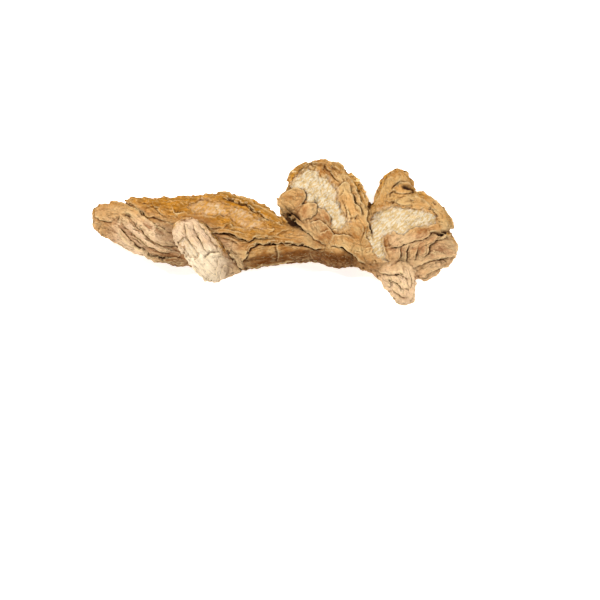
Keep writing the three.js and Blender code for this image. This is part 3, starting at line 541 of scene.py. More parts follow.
def noise(x, y, z):
    """Value noise from -1 to 1: the lattice's numbers, eased from corner to corner."""
    at = np.stack([x, y, z])
    cell = np.floor(at)
    u, v, w = ease(0, 1, at - cell)
    total = 0
    for a in (0, 1):
        for b in (0, 1):
            for c in (0, 1):
                weight = (u if a else 1 - u) * (v if b else 1 - v) * (w if c else 1 - w)
                total = total + weight * lattice(cell[0] + a, cell[1] + b, cell[2] + c)
    return 2 * total - 1


print("noise from", noise(*points.T).min().round(2), "to", noise(*points.T).max().round(2))

# %% Where each point lies on its lobes
hits = np.stack([lobe_at(points, lobe) for lobe in LOBES.values()])
closeness = np.exp(-(hits[:, :, 0] - hits[:, :, 0].min(axis=0)) / 1.2)
closeness[closeness < 0.02] = 0
closeness /= closeness.sum(axis=0)
print("points on more than one lobe:", int(((closeness > 0.02).sum(axis=0) > 1).sum()))


def on_lobes(formula):
    """A formula of along, across, up and the lobe's number, mixed where lobes meet."""
    total = np.zeros(len(points))
    for n in range(len(LOBES)):
        use = closeness[n] > 0
        _, along, across, up = hits[n, use].T
        total[use] += closeness[n, use] * formula(along, across, up, n)
    return total


# %% [markdown]
# ## Wrinkles
#
# Drying draws a lobe's skin in across its width, so its wrinkles run along it. Noise that is
# stretched along the lobe gives them. Its distance from zero makes each wrinkle a sharp crease
# with a soft swelling on both sides, as on a raisin. Counted in steps, the same kind of noise
# makes ledges: long flakes of skin that rise slowly to a lip and fall off it at once.

# %% Three kinds of wrinkle


def coarse_wrinkle(along, across, up, n):
    """The solid's own large wrinkles: noise 16 mm long and 3.6 mm wide."""
    l, u, v = along / 16 + 17 * n, across / 3.6, up / 3.6
    bend = 0.7 * noise(l * 1.7, u * 0.5, v * 0.5 + 9)
    return 0.6 * (0.8 - 2.4 * np.abs(noise(l, u + bend, v + bend)))


def stretched(length, width, shift):
    """Noise of this length and width on each lobe, bent sideways by a slower noise."""
    def formula(along, across, up, n):
        l, u, v = along / length + 17 * n + shift, across / width, up / width
        bend = 0.9 * noise(l * 1.3, u * 0.35, v * 0.35 + shift)
        return noise(l, u + bend, v + bend)
    return on_lobes(formula)


def creases(value, width):
    """A swelling that grows with the noise's distance from zero, and a narrow cut at zero."""
    return 0.45 * np.abs(value) ** 0.7 - bell(value, width)


def ledge_height(level, fall=0.14):
    """Each whole step of the level rises from 0 to 1, then falls back over this share of it."""
    t = level - np.floor(level)
    return np.where(t < 1 - fall, t / (1 - fall), (1 - t) / fall)


coarse = on_lobes(coarse_wrinkle)
middling = creases(stretched(9.0, 1.9, 5.0), 0.12)
fine = creases(stretched(4.6, 0.95, 31.0), 0.16)
ragged = 0.10 * stretched(2.6, 1.3, 13.0) + 0.06 * stretched(1.1, 0.7, 17.0)
sideways = on_lobes(lambda along, across, up, n: across)
ledge_level = 2.6 * (stretched(17.0, 3.8, 71.0) + ragged) + 0.32 * sideways + 10
fibre = stretched(3.4, 0.5, 55.0)
print("coarse wrinkles from", coarse.min().round(2), "to", coarse.max().round(2), "mm")

# %% Folds and patches on the skin
SHARP = 0.26  # how soon a lip falls off at its sharp side, in millimetres
GUTTER = 0.28  # half the width of the gutter beside it
TAPER = 2.5  # how far from its end a fold starts to fade
CLEAR = 3.0  # a point this far from a line has nothing of it
LIP_HEIGHT, GUTTER_DEPTH = 0.7, 0.5  # of a fold whose height or drop is 1
DEEP = 0.5  # a hollow deeper than this is a dark hole, and a shallower one is a scar
shown = ease(0.05, 0.35, normals @ FACING)
WANDER = ((0.34, 1.9), (0.22, 0.9))  # how far a line strays, and over what length
wander = np.stack([sum(far * noise(*(points / length).T + n) for far, length in WANDER)
                   for n in (3, 40)], axis=1)
folds, fold_strength = np.zeros(len(points)), np.zeros(len(points))
fold_side = np.full(len(points), CLEAR)
unsteady = 0.8 + 0.35 * noise(*(points / 2.7).T + 23)
for lift, drop, line in FOLDS.values():
    side, from_end = beside_line(DRAWN + wander, line)
    taper = shown * unsteady * ease(-0.3 * TAPER, TAPER, from_end)
    lip = taper * bell(side, np.where(side > 0, 1.0 + 1.6 * lift, SHARP))
    gutter = taper * bell(side + SHARP + 0.5 * GUTTER, GUTTER)
    folds += LIP_HEIGHT * lift * lip - GUTTER_DEPTH * drop * gutter
    closer = (np.abs(side) < np.abs(fold_side)) & (taper > 0.02)
    fold_side[closer] = side[closer]
    fold_strength[closer] = taper[closer] * min(1.2 * max(drop, 0.6 * lift), 1)

scrape_depth = np.full(len(points), -CLEAR)
for outline in PATCHES.values():
    side, _ = beside_line(DRAWN + 2 * wander, outline + outline[:1])
    inside = inside_outline(DRAWN + 2 * wander, outline)
    scrape_depth = np.maximum(scrape_depth, np.where(inside, np.abs(side), -np.abs(side)))
bare = shown * ease(-0.2, 0.2, scrape_depth)
scrape_depth -= CLEAR * (1 - shown)
print("bare share:", bare.mean().round(3))

hole, scar = np.zeros(len(points)), np.zeros(len(points))
for x, v, long, wide, turn, depth in HOLLOWS.values():
    off = DRAWN + wander - (x, v)
    turned = np.radians(turn)
    along = off @ (np.cos(turned), np.sin(turned)) / long
    across = off @ (-np.sin(turned), np.cos(turned)) / wide
    dent = shown * bell(np.hypot(along, across), 1)
    folds -= depth * dent
    # A deep hollow counts as a hole, which the material paints dark as painted shade.
    if depth > DEEP:
        hole = np.maximum(hole, dent)
    else:
        scar = np.maximum(scar, dent)
print("points in holes:", int((hole > 0.5).sum()), "and in scars:", int((scar > 0.5).sum()))

# %% The root's own relief
worn = ease(GROUND, GROUND + 1, points[:, 2])
skin = 1 - bare
share_of = {name: closeness[n] for n, name in enumerate(LOBES)}


def by_lobe(amounts):
    """Each lobe's amount, mixed where lobes meet."""
    return sum(amount * share_of[name] for name, amount in amounts.items())


SMOOTH_LOBES = {"long finger": 0.3, "short finger": 0.5, "base bud": 0.3, "knob": 0.3, "axis": 0.1}
# Heights in millimetres, of ledges, wrinkles, creases everywhere and creases on skin, of fibres on
# flesh, of the step down to a scraped patch, and of crumbs and bites at the rims.
LEDGE, WRINKLE, CREASE, SKIN_CREASE, FIBRE, STEP_DOWN, CRUMB, BITE = (
    0.42, 0.36, 0.06, 0.12, 0.08, 0.35, 0.40, 0.6)
smooth = by_lobe(SMOOTH_LOBES)
calm = 1 - 0.75 * shown
rough = worn * skin * (1 - smooth)
patchy = ease(-0.3, 0.5, noise(*(points / 7).T + 60))
flaky = ease(0.0, 0.45, noise(*(points / 5.5).T + 90))
height = worn * skin * calm * coarse + folds - STEP_DOWN * bare
height += rough * (LEDGE * flaky * (ledge_height(ledge_level) - 0.5) + WRINKLE * patchy * middling)
height += worn * ((CREASE + SKIN_CREASE * skin) * fine + FIBRE * bare * fibre)
drawn_rim = bell(normals @ FACING - 0.1, 0.35)
crumbs = noise(*(points / 1.3).T + 7) + 0.7 * noise(*(points / 0.7).T + 8)
bites = ease(0.25, 0.6, noise(*(points / 1.1).T + 15))
height += worn * drawn_rim * (CRUMB * crumbs - BITE * bites)
print("relief from", height.min().round(2), "to", height.max().round(2), "mm")

# %% The root's place in the frame
raw = points + normals * height[:, None]
raw[:, 2] = np.maximum(raw[:, 2], GROUND)
raw_low, raw_high = raw.min(axis=0), raw.max(axis=0)
solid_low, solid_high = (np.array(corner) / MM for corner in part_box("ginger_root"))
scale = (solid_high - solid_low)[0] / (raw_high - raw_low)[0]
raw_middle = np.array([*(raw_low + raw_high)[:2] / 2, GROUND])
solid_middle = np.array([*(solid_low + solid_high)[:2] / 2, 0])


def into_frame(points):
    """From where the root was drawn to where the solid is: moved to its middle and scaled."""
    return (points - raw_middle) * scale + solid_middle


placed = into_frame(raw)
print("scaled by", scale.round(4), "size", (placed.max(axis=0) - placed.min(axis=0)).round(2))

# %% [markdown]
# ## What the colours depend on
#
# On this root the cracks and hollows are painted dark as shade, the crests pale as highlight and
# partly as rubbed skin, and each lobe has a tint of its own. It could be painted by hand on a flat
# picture of the skin. Here every point gets a few numbers instead, which the material turns into
# colours: how hollow it is, how near it is to a fold or a scraped edge, which lobe it is on and
# which way it faces.

# %% How hollow each point is


def hollowness(points, faces, rounds):
    """How far the surface lies under its own neighbourhood, in mm: the mean place of the
    neighbours, taken again for each round, less the point, along the body's normal."""
    here, there = neighbours(faces)
    mean = points
    for _ in range(rounds):
        mean = neighbours_mean(mean, here, there)
    return ((mean - points) * normals).sum(axis=1)


near_hollow = hollowness(placed, faces, 2)
wide_hollow = hollowness(placed, faces, 14)
for hollow in (near_hollow, wide_hollow):
    print("hollows, lowest, middle and highest:", np.percentile(hollow, (1, 50, 99)).round(3))

# %% How each lobe's skin differs, from 0 to 1
PALE_LOBES = {"long finger": 0.85, "short finger": 1.0, "base bud": 0.3, "right bud": 0.4,
              "right foot": 0.45, "tail": 0.8}
GOLDEN_LOBES = {"shoulder": 0.9, "web": 0.9, "knob": 0.25}
# Front-facing walls get darker brown: partly their own browner skin, partly painted shade.
BROWN_AND_SHADED_WALLS = {"axis": 1.0, "shoulder": 0.7, "middle lobe": 1.0, "web": 0.6, "base bud": 0.4}
assert {*PALE_LOBES, *GOLDEN_LOBES, *BROWN_AND_SHADED_WALLS} <= {*LOBES}
print("pale:", ", ".join(PALE_LOBES))

# %% From arrays to a piece


def make_mesh(name, points, faces):
    """A smooth-shaded mesh from points in millimetres and four-sided faces."""
    mesh = bpy.data.meshes.new(name)
    mesh.from_pydata((points * MM).tolist(), [], faces.tolist())
    mesh.polygons.foreach_set("use_smooth", np.ones(len(faces), bool))
    mesh.validate()
    mesh.update()
    return mesh


def add_attribute(mesh, name, values):
    """One number or one vector for each point, which the material reads by its name."""
    kind = "FLOAT" if values.ndim == 1 else "FLOAT_VECTOR"
    attribute = mesh.attributes.new(name, kind, "POINT")
    attribute.data.foreach_set("value" if values.ndim == 1 else "vector", values.ravel())


def add_piece(name, points, faces, attributes):
    """A piece that rides on the root and stands for the solid, which it hides."""
    mesh = make_mesh(name, points, faces)
    for key, values in attributes.items():
        add_attribute(mesh, key, values)
    piece = bpy.data.objects.new(name, mesh)
    bpy.context.collection.objects.link(piece)
    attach(piece, "root")
    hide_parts("ginger_root")
    return piece


# %% Painted shade in cracks and sunken places, painted highlight on crests, and rims
CRACK_FROM, CREST_FROM = 0.02, 0.03  # how hollow or how proud, in mm, before it shows
SHARE_PER_MM = 5.0
SUNK_FULLY = 0.5
# Painted shade in small hollows.
crack = np.clip(SHARE_PER_MM * (near_hollow - CRACK_FROM), 0, 1)
# Painted highlight on proud places, partly rubbed-pale skin.
crest = np.clip(SHARE_PER_MM * (-near_hollow - CREST_FROM), 0, 1)
# Painted shade in wide hollows, with less of it on the fan and the flakes.
sunken_shade = np.clip(wide_hollow / SUNK_FULLY, -1, 1)
facing_front, facing_back = -normals[:, 1], normals[:, 1]
# A band along the lobes' far-side rims, painted amber: partly the thin skin's own colour, partly
# painted glow of light through it.
far_rim = bell(normals[:, 2] - 0.45, 0.3) * ease(-0.1, 0.3, facing_back)
on_finger = share_of["long finger"]
fan = share_of["right lobe"] * ease(31, 34, points[:, 0]) * ease(2, -1, DRAWN[:, 1])
flakes = bell(np.hypot(*(DRAWN - (11.5, 4.5)).T), 6.0)
sunken_shade = sunken_shade * (1 - 0.85 * shown * np.maximum(fan, flakes))
print("cracked:", (crack > 0.5).mean().round(3), "crested:", (crest > 0.5).mean().round(3))

# %% Pale and golden skin
# Under the long finger the skin is painted browner and less pale, as painted shade.
shade_under_finger = on_finger * ease(-38, -29, points[:, 0]) * ease(-3.0, -7.0, DRAWN[:, 1])
finger_hood = np.maximum(ease(2, 6, DRAWN[:, 1]), ease(-42, -49, points[:, 0]))
pale = by_lobe(PALE_LOBES) * (1 - 0.5 * ease(0.1, 0.6, facing_back))
pale = pale * (1 - 0.75 * on_finger * finger_hood) * (1 - 0.6 * shade_under_finger)
# The fan and the flakes are painted paler, as painted light.
pale = np.maximum(pale, shown * np.maximum(0.5 * fan, 0.2 * flakes))
golden = np.maximum(by_lobe(GOLDEN_LOBES), 0.45 * ease(0.15, 0.6, facing_back))
golden = np.maximum(golden, 0.5 * on_finger * ease(-39, -47, points[:, 0]))
golden = np.maximum(golden, 0.15 * shown * flakes)
print("pale:", pale.mean().round(3), "golden:", golden.mean().round(3))

# %% Brown skin and painted shade: darker brown on front walls, partly their own skin, and painted shade beside the short finger, under the long finger and in the corner recess
RECESS_AT, RECESS_SIZE = (6.4, 6.0), (5.2, 2.6)
RECESS_TURN = [[0.77, 0.64], [-0.64, 0.77]]
brown_and_painted_shade = ease(0.35, 0.8, facing_front) * by_lobe(BROWN_AND_SHADED_WALLS)
# Beside the short finger the skin is painted darker brown, as painted shade.
from_short = hits[[*LOBES].index("short finger"), :, 0]
shade_beside_short = ease(0.1, 0.6, 1 - share_of["short finger"])
shade_beside_short = shade_beside_short * np.exp(-np.maximum(from_short, 0) / 2.5)
# In the corner recess the skin is painted darker brown, as painted shade; the axis is a little
# browner all over.
recess = bell(np.hypot(*((DRAWN + wander - RECESS_AT) @ RECESS_TURN / RECESS_SIZE).T), 1)
for share in (0.8 * shade_beside_short, 0.25 * share_of["axis"], 0.9 * shade_under_finger,
              shown * recess * ease(9.5, 8.0, raw[:, 2])):
    brown_and_painted_shade = np.maximum(brown_and_painted_shade, share)
print("brown:", brown_and_painted_shade.mean().round(3))

# %% The root's skin as a piece
nearest = hits[:, :, 0].argmin(axis=0)
grain = hits[nearest, np.arange(len(points)), 1:] + 31.0 * nearest[:, None] * np.array([1, 0, 0])
paint = {
    "banded": on_finger * ease(6.0, 3.0, DRAWN[:, 1]), "fold_side": fold_side,
    "fold_strength": fold_strength, "scrape_depth": scrape_depth, "ledge_level": ledge_level,
    "flaky": rough * flaky, "crack": crack, "crest": crest, "sunken_shade": sunken_shade, "pale": pale,
    "golden": golden, "brown_and_painted_shade": brown_and_painted_shade, "rim": far_rim, "hole": hole, "scar": scar,
    # pearl: near-white on the short finger's front end, partly its own pale skin, partly painted
    # light.
    "thin": share_of["shoulder"], "pearl": share_of["short finger"] * ease(-10, -14, raw[:, 1]),
    "grain": grain}
root = add_piece("root_skin", placed, faces, paint)
print(root.name, len(faces), "faces")

# %% [markdown]
# ## Loose skin
#
# Where a fold has torn, a thin sheet of skin stands free: it starts inside the lip, passes over
# the sharp edge and ends ragged above the gutter. Each sheet is a strip that follows its fold's
# line. The strips need the height of the skin under each point of the drawing plane, so the
# skin's points are sorted into a map of it first, and the topmost point in each square counts.

# %% The skin's height over the drawing plane
SQUARE = 0.35  # the map's pitch, in millimetres
UP = np.array([0, np.sin(TILT), np.cos(TILT)])
seen = np.stack([raw[:, 0], raw @ UP, raw @ FACING], axis=1)
map_low = seen[:, :2].min(axis=0) - 4 * SQUARE
squares = ((seen[:, :2] - map_low) / SQUARE).round().astype(int)
order = np.argsort(seen[:, 2])
topmost = np.full(squares.max(axis=0) + 6, -1)
topmost[tuple(squares[order].T)] = order
covered = topmost >= 0
for _ in range(3):
    for shift, axis in ((1, 0), (-1, 0), (1, 1), (-1, 1)):
        beside = np.roll(topmost, shift, axis)
        topmost = np.where((topmost < 0) & (beside >= 0), beside, topmost)
height_map = np.where(topmost >= 0, seen[topmost, 2], seen[:, 2].min())
print("map:", topmost.shape, "squares, empty", (topmost < 0).mean().round(2))


def top_point(at):
    """The number of the topmost skin point at each place of the drawing plane."""
    i, j = ((at - map_low) / SQUARE).round().astype(int).T
    return topmost[np.clip(i, 0, topmost.shape[0] - 1), np.clip(j, 0, topmost.shape[1] - 1)]


def height_at(at):
    """The map's height, mixed from its four nearest squares."""
    place = (at - map_low) / SQUARE
    i, j = np.clip(np.floor(place).astype(int), 0, np.array(height_map.shape) - 2).T
    s, t = (place - np.floor(place)).T
    return ((1 - s) * (1 - t) * height_map[i, j] + s * (1 - t) * height_map[i + 1, j]
            + (1 - s) * t * height_map[i, j + 1] + s * t * height_map[i + 1, j + 1])


# %% A strip of loose skin along each torn fold
THICK = 0.12
STEP = 0.28  # from one row of a strip to the next
LEVELS = np.array([0, 0.15, 0.4, 0.8, 1.0, 0.85])  # how much of its lift each column stands up by


def smoothed(values, rounds):
    """Each value becomes a quarter of both its neighbours and half of itself, again and again."""
    for _ in range(rounds):
        ends = np.concatenate([values[:1], values, values[-1:]])
        values = (ends[:-2] + 2 * ends[1:-1] + ends[2:]) / 4
    return values


def strip(line, lift, reach, inner_width, shift):
    """Rows of points across a line. The first columns lie on the skin inside the lip, the last
    ones pass it by up to the reach and stand up by the lift. Both shrink to nothing at the
    line's ends, and noise tears the outer edge."""
    line = np.array(line, float)
    run = np.concatenate([[0], np.cumsum(np.hypot(*np.diff(line, axis=0).T))])
    along = np.arange(0, run[-1], STEP)
    middle = np.stack([np.interp(along, run, line[:, n]) for n in (0, 1)], axis=1)
    middle = smoothed(middle - wander[top_point(middle)], 2)
    ahead = smoothed(np.gradient(middle, axis=0), 2)
    left = np.stack([-ahead[:, 1], ahead[:, 0]], axis=1) / np.hypot(*ahead.T)[:, None]
    inner = ((middle + 0.5 * left - map_low) / SQUARE).round().astype(int)
    inner = np.clip(inner, 0, np.array(covered.shape) - 1)
    end = ease(0, 2.2, np.minimum(along, run[-1] - along))
    end = end * smoothed(covered[tuple(inner.T)] * 1.0, 4)
    still, shifted = 0 * along, 0 * along + shift
    torn = (0.75 + 0.45 * noise(along / 1.1, shifted, still)
            + 0.35 * noise(along / 0.45, still, shifted))
    out = reach * end * np.clip(torn, 0.15, 1.4)
    wave = 1 + 0.5 * noise(along / 1.6 + 50, shifted, still)
    inward = inner_width * np.ones_like(out)
    offsets = np.stack([inward, 0.65 * inward, 0.3 * inward, -0.1 * out, -0.5 * out, -out], axis=1)
    at = middle[:, None, :] + left[:, None, :] * offsets[:, :, None]
    ground = height_at(at.reshape(-1, 2)).reshape(offsets.shape)
    edge = smoothed(np.maximum(ground[:, 2], ground[:, 3]), 2)
    ground[:, 3:] = np.maximum(edge[:, None] - (0.05, 0.1, 0.2), ground[:, 3:] - (0, 0.1, 0.1))
    raised = (end * wave)[:, None] * lift * LEVELS - 0.1 * (1 - end)[:, None]
    raised[:, 0] = -0.15
    return at, ground + raised


def shell(at, up):
    """The strip as a closed sheet: its rows, then the same rows lower by the thickness."""
    rows, columns = up.shape
    ring = np.concatenate([np.arange(columns), np.arange(columns)[::-1]])
    lower = np.repeat([0, THICK], columns)
    spots = at[:, ring].reshape(-1, 2)
    w = (up[:, ring] - lower).reshape(-1)
    points = spots[:, :1] * (1, 0, 0) + spots[:, 1:] * UP + w[:, None] * FACING
    r, c = np.meshgrid(np.arange(rows - 1), np.arange(2 * columns), indexing="ij")
    following = (c + 1) % (2 * columns)
    corners = [(r, c), (r, following), (r + 1, following), (r + 1, c)]
    faces = np.stack([row * 2 * columns + column for row, column in corners], axis=-1)
    faces = faces.reshape(-1, 4)
    n = np.arange(columns - 1)
    cap = np.stack([n, n + 1, 2 * columns - 2 - n, 2 * columns - 1 - n], axis=1)
    faces = np.concatenate([faces, cap, cap[:, ::-1] + (rows - 1) * 2 * columns])
    a, b, c, d = (points[faces[:, n]] for n in range(4))
    volume = (np.cross(b - a, c - a) * a).sum() + (np.cross(c - a, d - a) * a).sum()
    if volume < 0:
        faces = faces[:, ::-1]
    # Painted highlight towards each sheet's outer edge, and painted shade on its underside.
    edge_highlight = np.tile(np.concatenate([[0, 0, 0.05, 0.3, 0.6, 0.8], np.zeros(columns)]), rows)
    underside_shade = np.tile(np.concatenate([np.zeros(columns), np.full(columns, 0.8)]), rows)
    return points, faces, top_point(spots), edge_highlight, underside_shade


parts, total = [], 0
# Each strip: its line, its lift, its reach past the line and its width inside it.
TORN = [(line, 0.14 + 0.12 * lift, 0.30 + 0.25 * drop, 0.6)
        for lift, drop, line in FOLDS.values() if drop >= 0.5]
TORN += [(line, 0.26, 0.55, 1.5) for line in FRILLS.values()]
for n, (line, *sizes) in enumerate(TORN):
    loose_points, loose_faces, *rest = shell(*strip(line, *sizes, 7.3 * n))
    parts.append((loose_points, loose_faces + total, *rest))
    total += len(loose_points)
loose_points, loose_faces, source, edge, under = (np.concatenate(part) for part in zip(*parts))
loose_paint = {name: values[source] for name, values in paint.items()}
for name in ("fold_strength", "flaky", "sunken_shade", "hole", "scar", "ledge_level"):
    loose_paint[name] = np.zeros(total)
loose_paint["scrape_depth"] = np.full(total, -CLEAR)
# On the sheets, the edge takes the painted highlight and the underside the painted shade.
loose_paint["crest"], loose_paint["crack"] = edge, under
loose = add_piece("loose_skin", into_frame(loose_points), loose_faces, loose_paint)
print(len(TORN), "strips,", len(loose_faces), "faces")

# %% [markdown]
# ## The finish
#
# Dried skin is ochre to tan. Hollows and cracks get painted shade, browner and darker, and crests get
# painted highlight, partly rubbed-lighter skin. Scraped flesh is cream with fine straw-coloured
# fibres.

# %% Colours, as they look, turned into the linear numbers that a shader takes


def linear(red, green, blue):
    """From 0 to 255 as seen on a screen, to linear: ((c + 0.055) / 1.055) ** 2.4."""
    return tuple(((c / 255 + 0.055) / 1.055) ** 2.4 for c in (red, green, blue)) + (1.0,)


# Flesh: CREAM with fibres of STRAW. Skin: TAN and BROWN, GOLD and OLIVE on golden lobes, BLUSH and
# PEARL on pale ones, PEARL partly as painted light, AMBER on rims, partly as painted glow. Marks:
# CREST as painted highlight, partly rubbed skin; BROWN, SHADED and CRACK also as painted shade in
# hollows, folds and under sheets, CRACK also in the skin's own dark specks; SCAR on scars.
CREAM = linear(230, 216, 188)
STRAW = linear(214, 182, 128)
TAN = linear(218, 168, 108)
GOLD = linear(202, 134, 36)
OLIVE = linear(162, 108, 32)
AMBER = linear(204, 144, 54)
SCAR = linear(142, 98, 66)
BROWN = linear(150, 90, 32)
SHADED = linear(104, 56, 10)
CRACK = linear(50, 25, 6)
BLUSH = linear(242, 210, 176)
PEARL = linear(255, 236, 204)
CREST = linear(250, 222, 168)
print("tan in linear numbers:", np.round(TAN, 3))

# %% Helpers that add one node each
material = bpy.data.materials.new("dried_skin")
material.use_nodes = True
nodes, links = material.node_tree.nodes, material.node_tree.links
shader = nodes["Principled BSDF"]


def node(kind, **settings):
    """A new node of this kind, with these settings."""
    made = nodes.new(kind)
    for name, value in settings.items():
        setattr(made, name, value)
    return made


def attribute(name):
    """What the mesh has stored under this name."""
    return node("ShaderNodeAttribute", attribute_name=name)


def value_of(name):
    return attribute(name).outputs["Fac"]


def noise_node(vector, scale, detail=3.0, rough=0.55):
    """Soft noise from 0 to 1. On Object coordinates the scale is in waves per metre."""
    made = node("ShaderNodeTexNoise")
    made.inputs["Scale"].default_value = scale
    made.inputs["Detail"].default_value = detail
    made.inputs["Roughness"].default_value = rough
    links.new(vector, made.inputs["Vector"])
    return made.outputs["Fac"]


def band(value, low, high, out_low=0.0, out_high=1.0):
    """An eased step from one number to another, while the value goes from low to high."""
    made = node("ShaderNodeMapRange", interpolation_type="SMOOTHSTEP")
    for name, number in (("From Min", low), ("From Max", high),
                         ("To Min", out_low), ("To Max", out_high)):
        made.inputs[name].default_value = number
    links.new(value, made.inputs["Value"])
    return made.outputs["Result"]


def calculate(operation, a, b=None, clamp=False):
    """One sum on one or two values, each a number or another node's output."""
    made = node("ShaderNodeMath", operation=operation, use_clamp=clamp)
    for socket, value in zip(made.inputs, (a, b)):
        if value is None:
            continue
        if isinstance(value, (int, float)):
            socket.default_value = value
        else:
            links.new(value, socket)
    return made.outputs["Value"]


def times(a, b, clamp=False):
    return calculate("MULTIPLY", a, b, clamp)


def colour_mix(share, a, b):
    """Colour a with this share of colour b over it. Mix nodes name their sockets by kind, so the
    colour ones are found by their place."""
    made = node("ShaderNodeMix", data_type="RGBA")
    links.new(share, made.inputs[0])
    for socket, value in zip((made.inputs[6], made.inputs[7]), (a, b)):
        if isinstance(value, tuple):
            socket.default_value = value
        else:
            links.new(value, socket)
    return made.outputs[2]


# %% Noises that the masks and colours share
on_piece = node("ShaderNodeTexCoord").outputs["Object"]
along_grain = node("ShaderNodeMapping")
along_grain.inputs["Scale"].default_value = (0.25, 1.0, 1.0)
links.new(attribute("grain").outputs["Vector"], along_grain.inputs["Vector"])
on_grain = along_grain.outputs["Vector"]
slant = node("ShaderNodeMapping", vector_type="TEXTURE")
slant.inputs["Rotation"].default_value = (0, 0, 0.9)
slant.inputs["Scale"].default_value = (2.4, 1.0, 1.0)
links.new(on_piece, slant.inputs["Vector"])

broad = noise_node(on_piece, 90, 2)
tone = noise_node(on_piece, 170, 3)
medium = noise_node(on_piece, 420, 4, 0.6)
small = noise_node(on_piece, 1100, 3, 0.6)
speck = noise_node(on_piece, 1300, 2, 0.5)
scratch = noise_node(slant.outputs["Vector"], 1700, 2, 0.6)
streak = noise_node(on_grain, 1.1, 4, 0.6)
fine_streak = noise_node(on_grain, 3.2, 3, 0.6)
ragged_by = calculate("SUBTRACT", small, 0.5)
print(len(nodes), "nodes with the noises")

# %% Where the fold lines, ledges and scraped edges run, sharper than the mesh


def frayed(name, amount):
    """A stored value that fine noise shifts to and fro, so that its lines run ragged."""
    return calculate("ADD", value_of(name), times(ragged_by, amount))


def line_mask(value, middle, width):
    """1 on the line where the value is at the middle, 0 from this far off."""
    off = calculate("ABSOLUTE", calculate("SUBTRACT", value, middle))
    return band(calculate("DIVIDE", off, width), 0.0, 1.0, 1.0, 0.0)


beside_fold = frayed("fold_side", 0.8)
fold_share = value_of("fold_strength")
# Beside each fold: painted shade in the gutter and below it, painted highlight on the lip, and on the
# long finger broad painted shade below each fold.
fold_crack = times(line_mask(beside_fold, -0.26, 0.24), fold_share)
fold_dark = times(fold_crack, band(value_of("pale"), 0, 1, 1.0, 0.45))
lip_width = band(value_of("pale"), 0.2, 0.8, 0.2, 0.7)
fold_lip = times(line_mask(beside_fold, 0.1, lip_width), fold_share)
fold_shade = times(line_mask(beside_fold, -0.45, 0.95), fold_share)
finger_shade = times(line_mask(beside_fold, -0.7, 1.3), value_of("banded"))

flaky_share = value_of("flaky")
ledge_step = calculate("FRACT", frayed("ledge_level", 0.3))
# Painted shade just past each ledge's drop, and painted highlight on its lip.
ledge_crack = times(line_mask(ledge_step, 0.97, 0.10), flaky_share)
ledge_lip = times(line_mask(ledge_step, 0.84, 0.10), flaky_share)

scrape = frayed("scrape_depth", 1.4)
softness = band(noise_node(on_piece, 200, 2), 0.45, 0.6, 0.4, 2.2)
bare_share = calculate("ADD", calculate("DIVIDE", scrape, softness), 0.5, clamp=True)
off_flesh = calculate("SUBTRACT", 1, bare_share)
skin_edge = times(line_mask(scrape, -0.12, 0.22), band(broad, 0.35, 0.6, 0.3, 1))
print(len(nodes), "nodes with the folds, ledges and scraped edges")

# %% Thin sheets, fine wrinkles and fibres, which the mesh doesn't have at all
sheet = noise_node(on_grain, 0.42, 5, 0.62)
sheet_shown = times(band(medium, 0.40, 0.56), off_flesh)
sheet_step = times(band(sheet, 0.495, 0.508), off_flesh)
# Painted shade on one side of each thin sheet's edge, and painted highlight on the other.
sheet_crack = times(line_mask(sheet, 0.492, 0.010), sheet_shown)
sheet_lip = times(line_mask(sheet, 0.514, 0.012), sheet_shown)
# Painted shade in the fine wrinkles.
wrinkle_line = times(line_mask(streak, 0.5, 0.018), band(medium, 0.42, 0.58))
fibre_line = line_mask(fine_streak, 0.5, 0.035)
print(len(nodes), "nodes with the fine lines")

# %% The skin's colour, laid on coat by coat
golden_colour = colour_mix(band(medium, 0.38, 0.62), OLIVE, GOLD)
spots = noise_node(on_piece, 620, 3, 0.6)
glints = noise_node(on_piece, 560, 2, 0.6)
skin_colour = colour_mix(band(medium, 0.35, 0.65), BROWN, TAN)
for share, tint in (
        (band(broad, 0.40, 0.60), TAN),
        (band(tone, 0.48, 0.64, 0, 0.6), STRAW),
        (value_of("golden"), golden_colour),
        (band(streak, 0.58, 0.72, 0, 0.5), BROWN),
        (band(fine_streak, 0.52, 0.68, 0, 0.3), STRAW),
        (times(value_of("pale"), band(medium, 0.3, 0.6, 0.6, 1)), BLUSH),
        # Near-white on the short finger's front end: partly its pale skin, partly painted light.
        (value_of("pearl"), PEARL),
        # Darker brown: partly the skin's own, partly painted shade on front walls, beside the short
        # finger, under the long finger and in the corner recess.
        (times(value_of("brown_and_painted_shade"), band(medium, 0.3, 0.6, 0.7, 1)), SHADED),
        # Rims: amber, partly their own colour and partly painted glow, with their own dark spots and
        # painted highlight glints.
        (times(value_of("rim"), band(small, 0.40, 0.56, 0.2, 1.0)), AMBER),
        (times(value_of("rim"), band(spots, 0.52, 0.58, 0, 0.85)), SHADED),
        (times(value_of("rim"), band(glints, 0.60, 0.66, 0, 0.8)), CREST)):
    skin_colour = colour_mix(share, skin_colour, tint)
print(len(nodes), "nodes with the skin's colour")

# %% The flesh's colour, and where it shows
flesh_colour = CREAM
for share, tint in (
        (band(scratch, 0.44, 0.56, 0, 0.9), STRAW),
        (band(medium, 0.5, 0.75, 0, 0.5), STRAW),
        (times(fibre_line, 0.15), BROWN),
        (times(value_of("thin"), band(medium, 0.3, 0.6, 0.35, 0.7)), GOLD)):
    flesh_colour = colour_mix(share, flesh_colour, tint)
flesh_share = times(bare_share, band(value_of("pale"), 0.3, 1, 1, 0.5))
colour = colour_mix(flesh_share, skin_colour, flesh_colour)
print(len(nodes), "nodes with the flesh's colour")

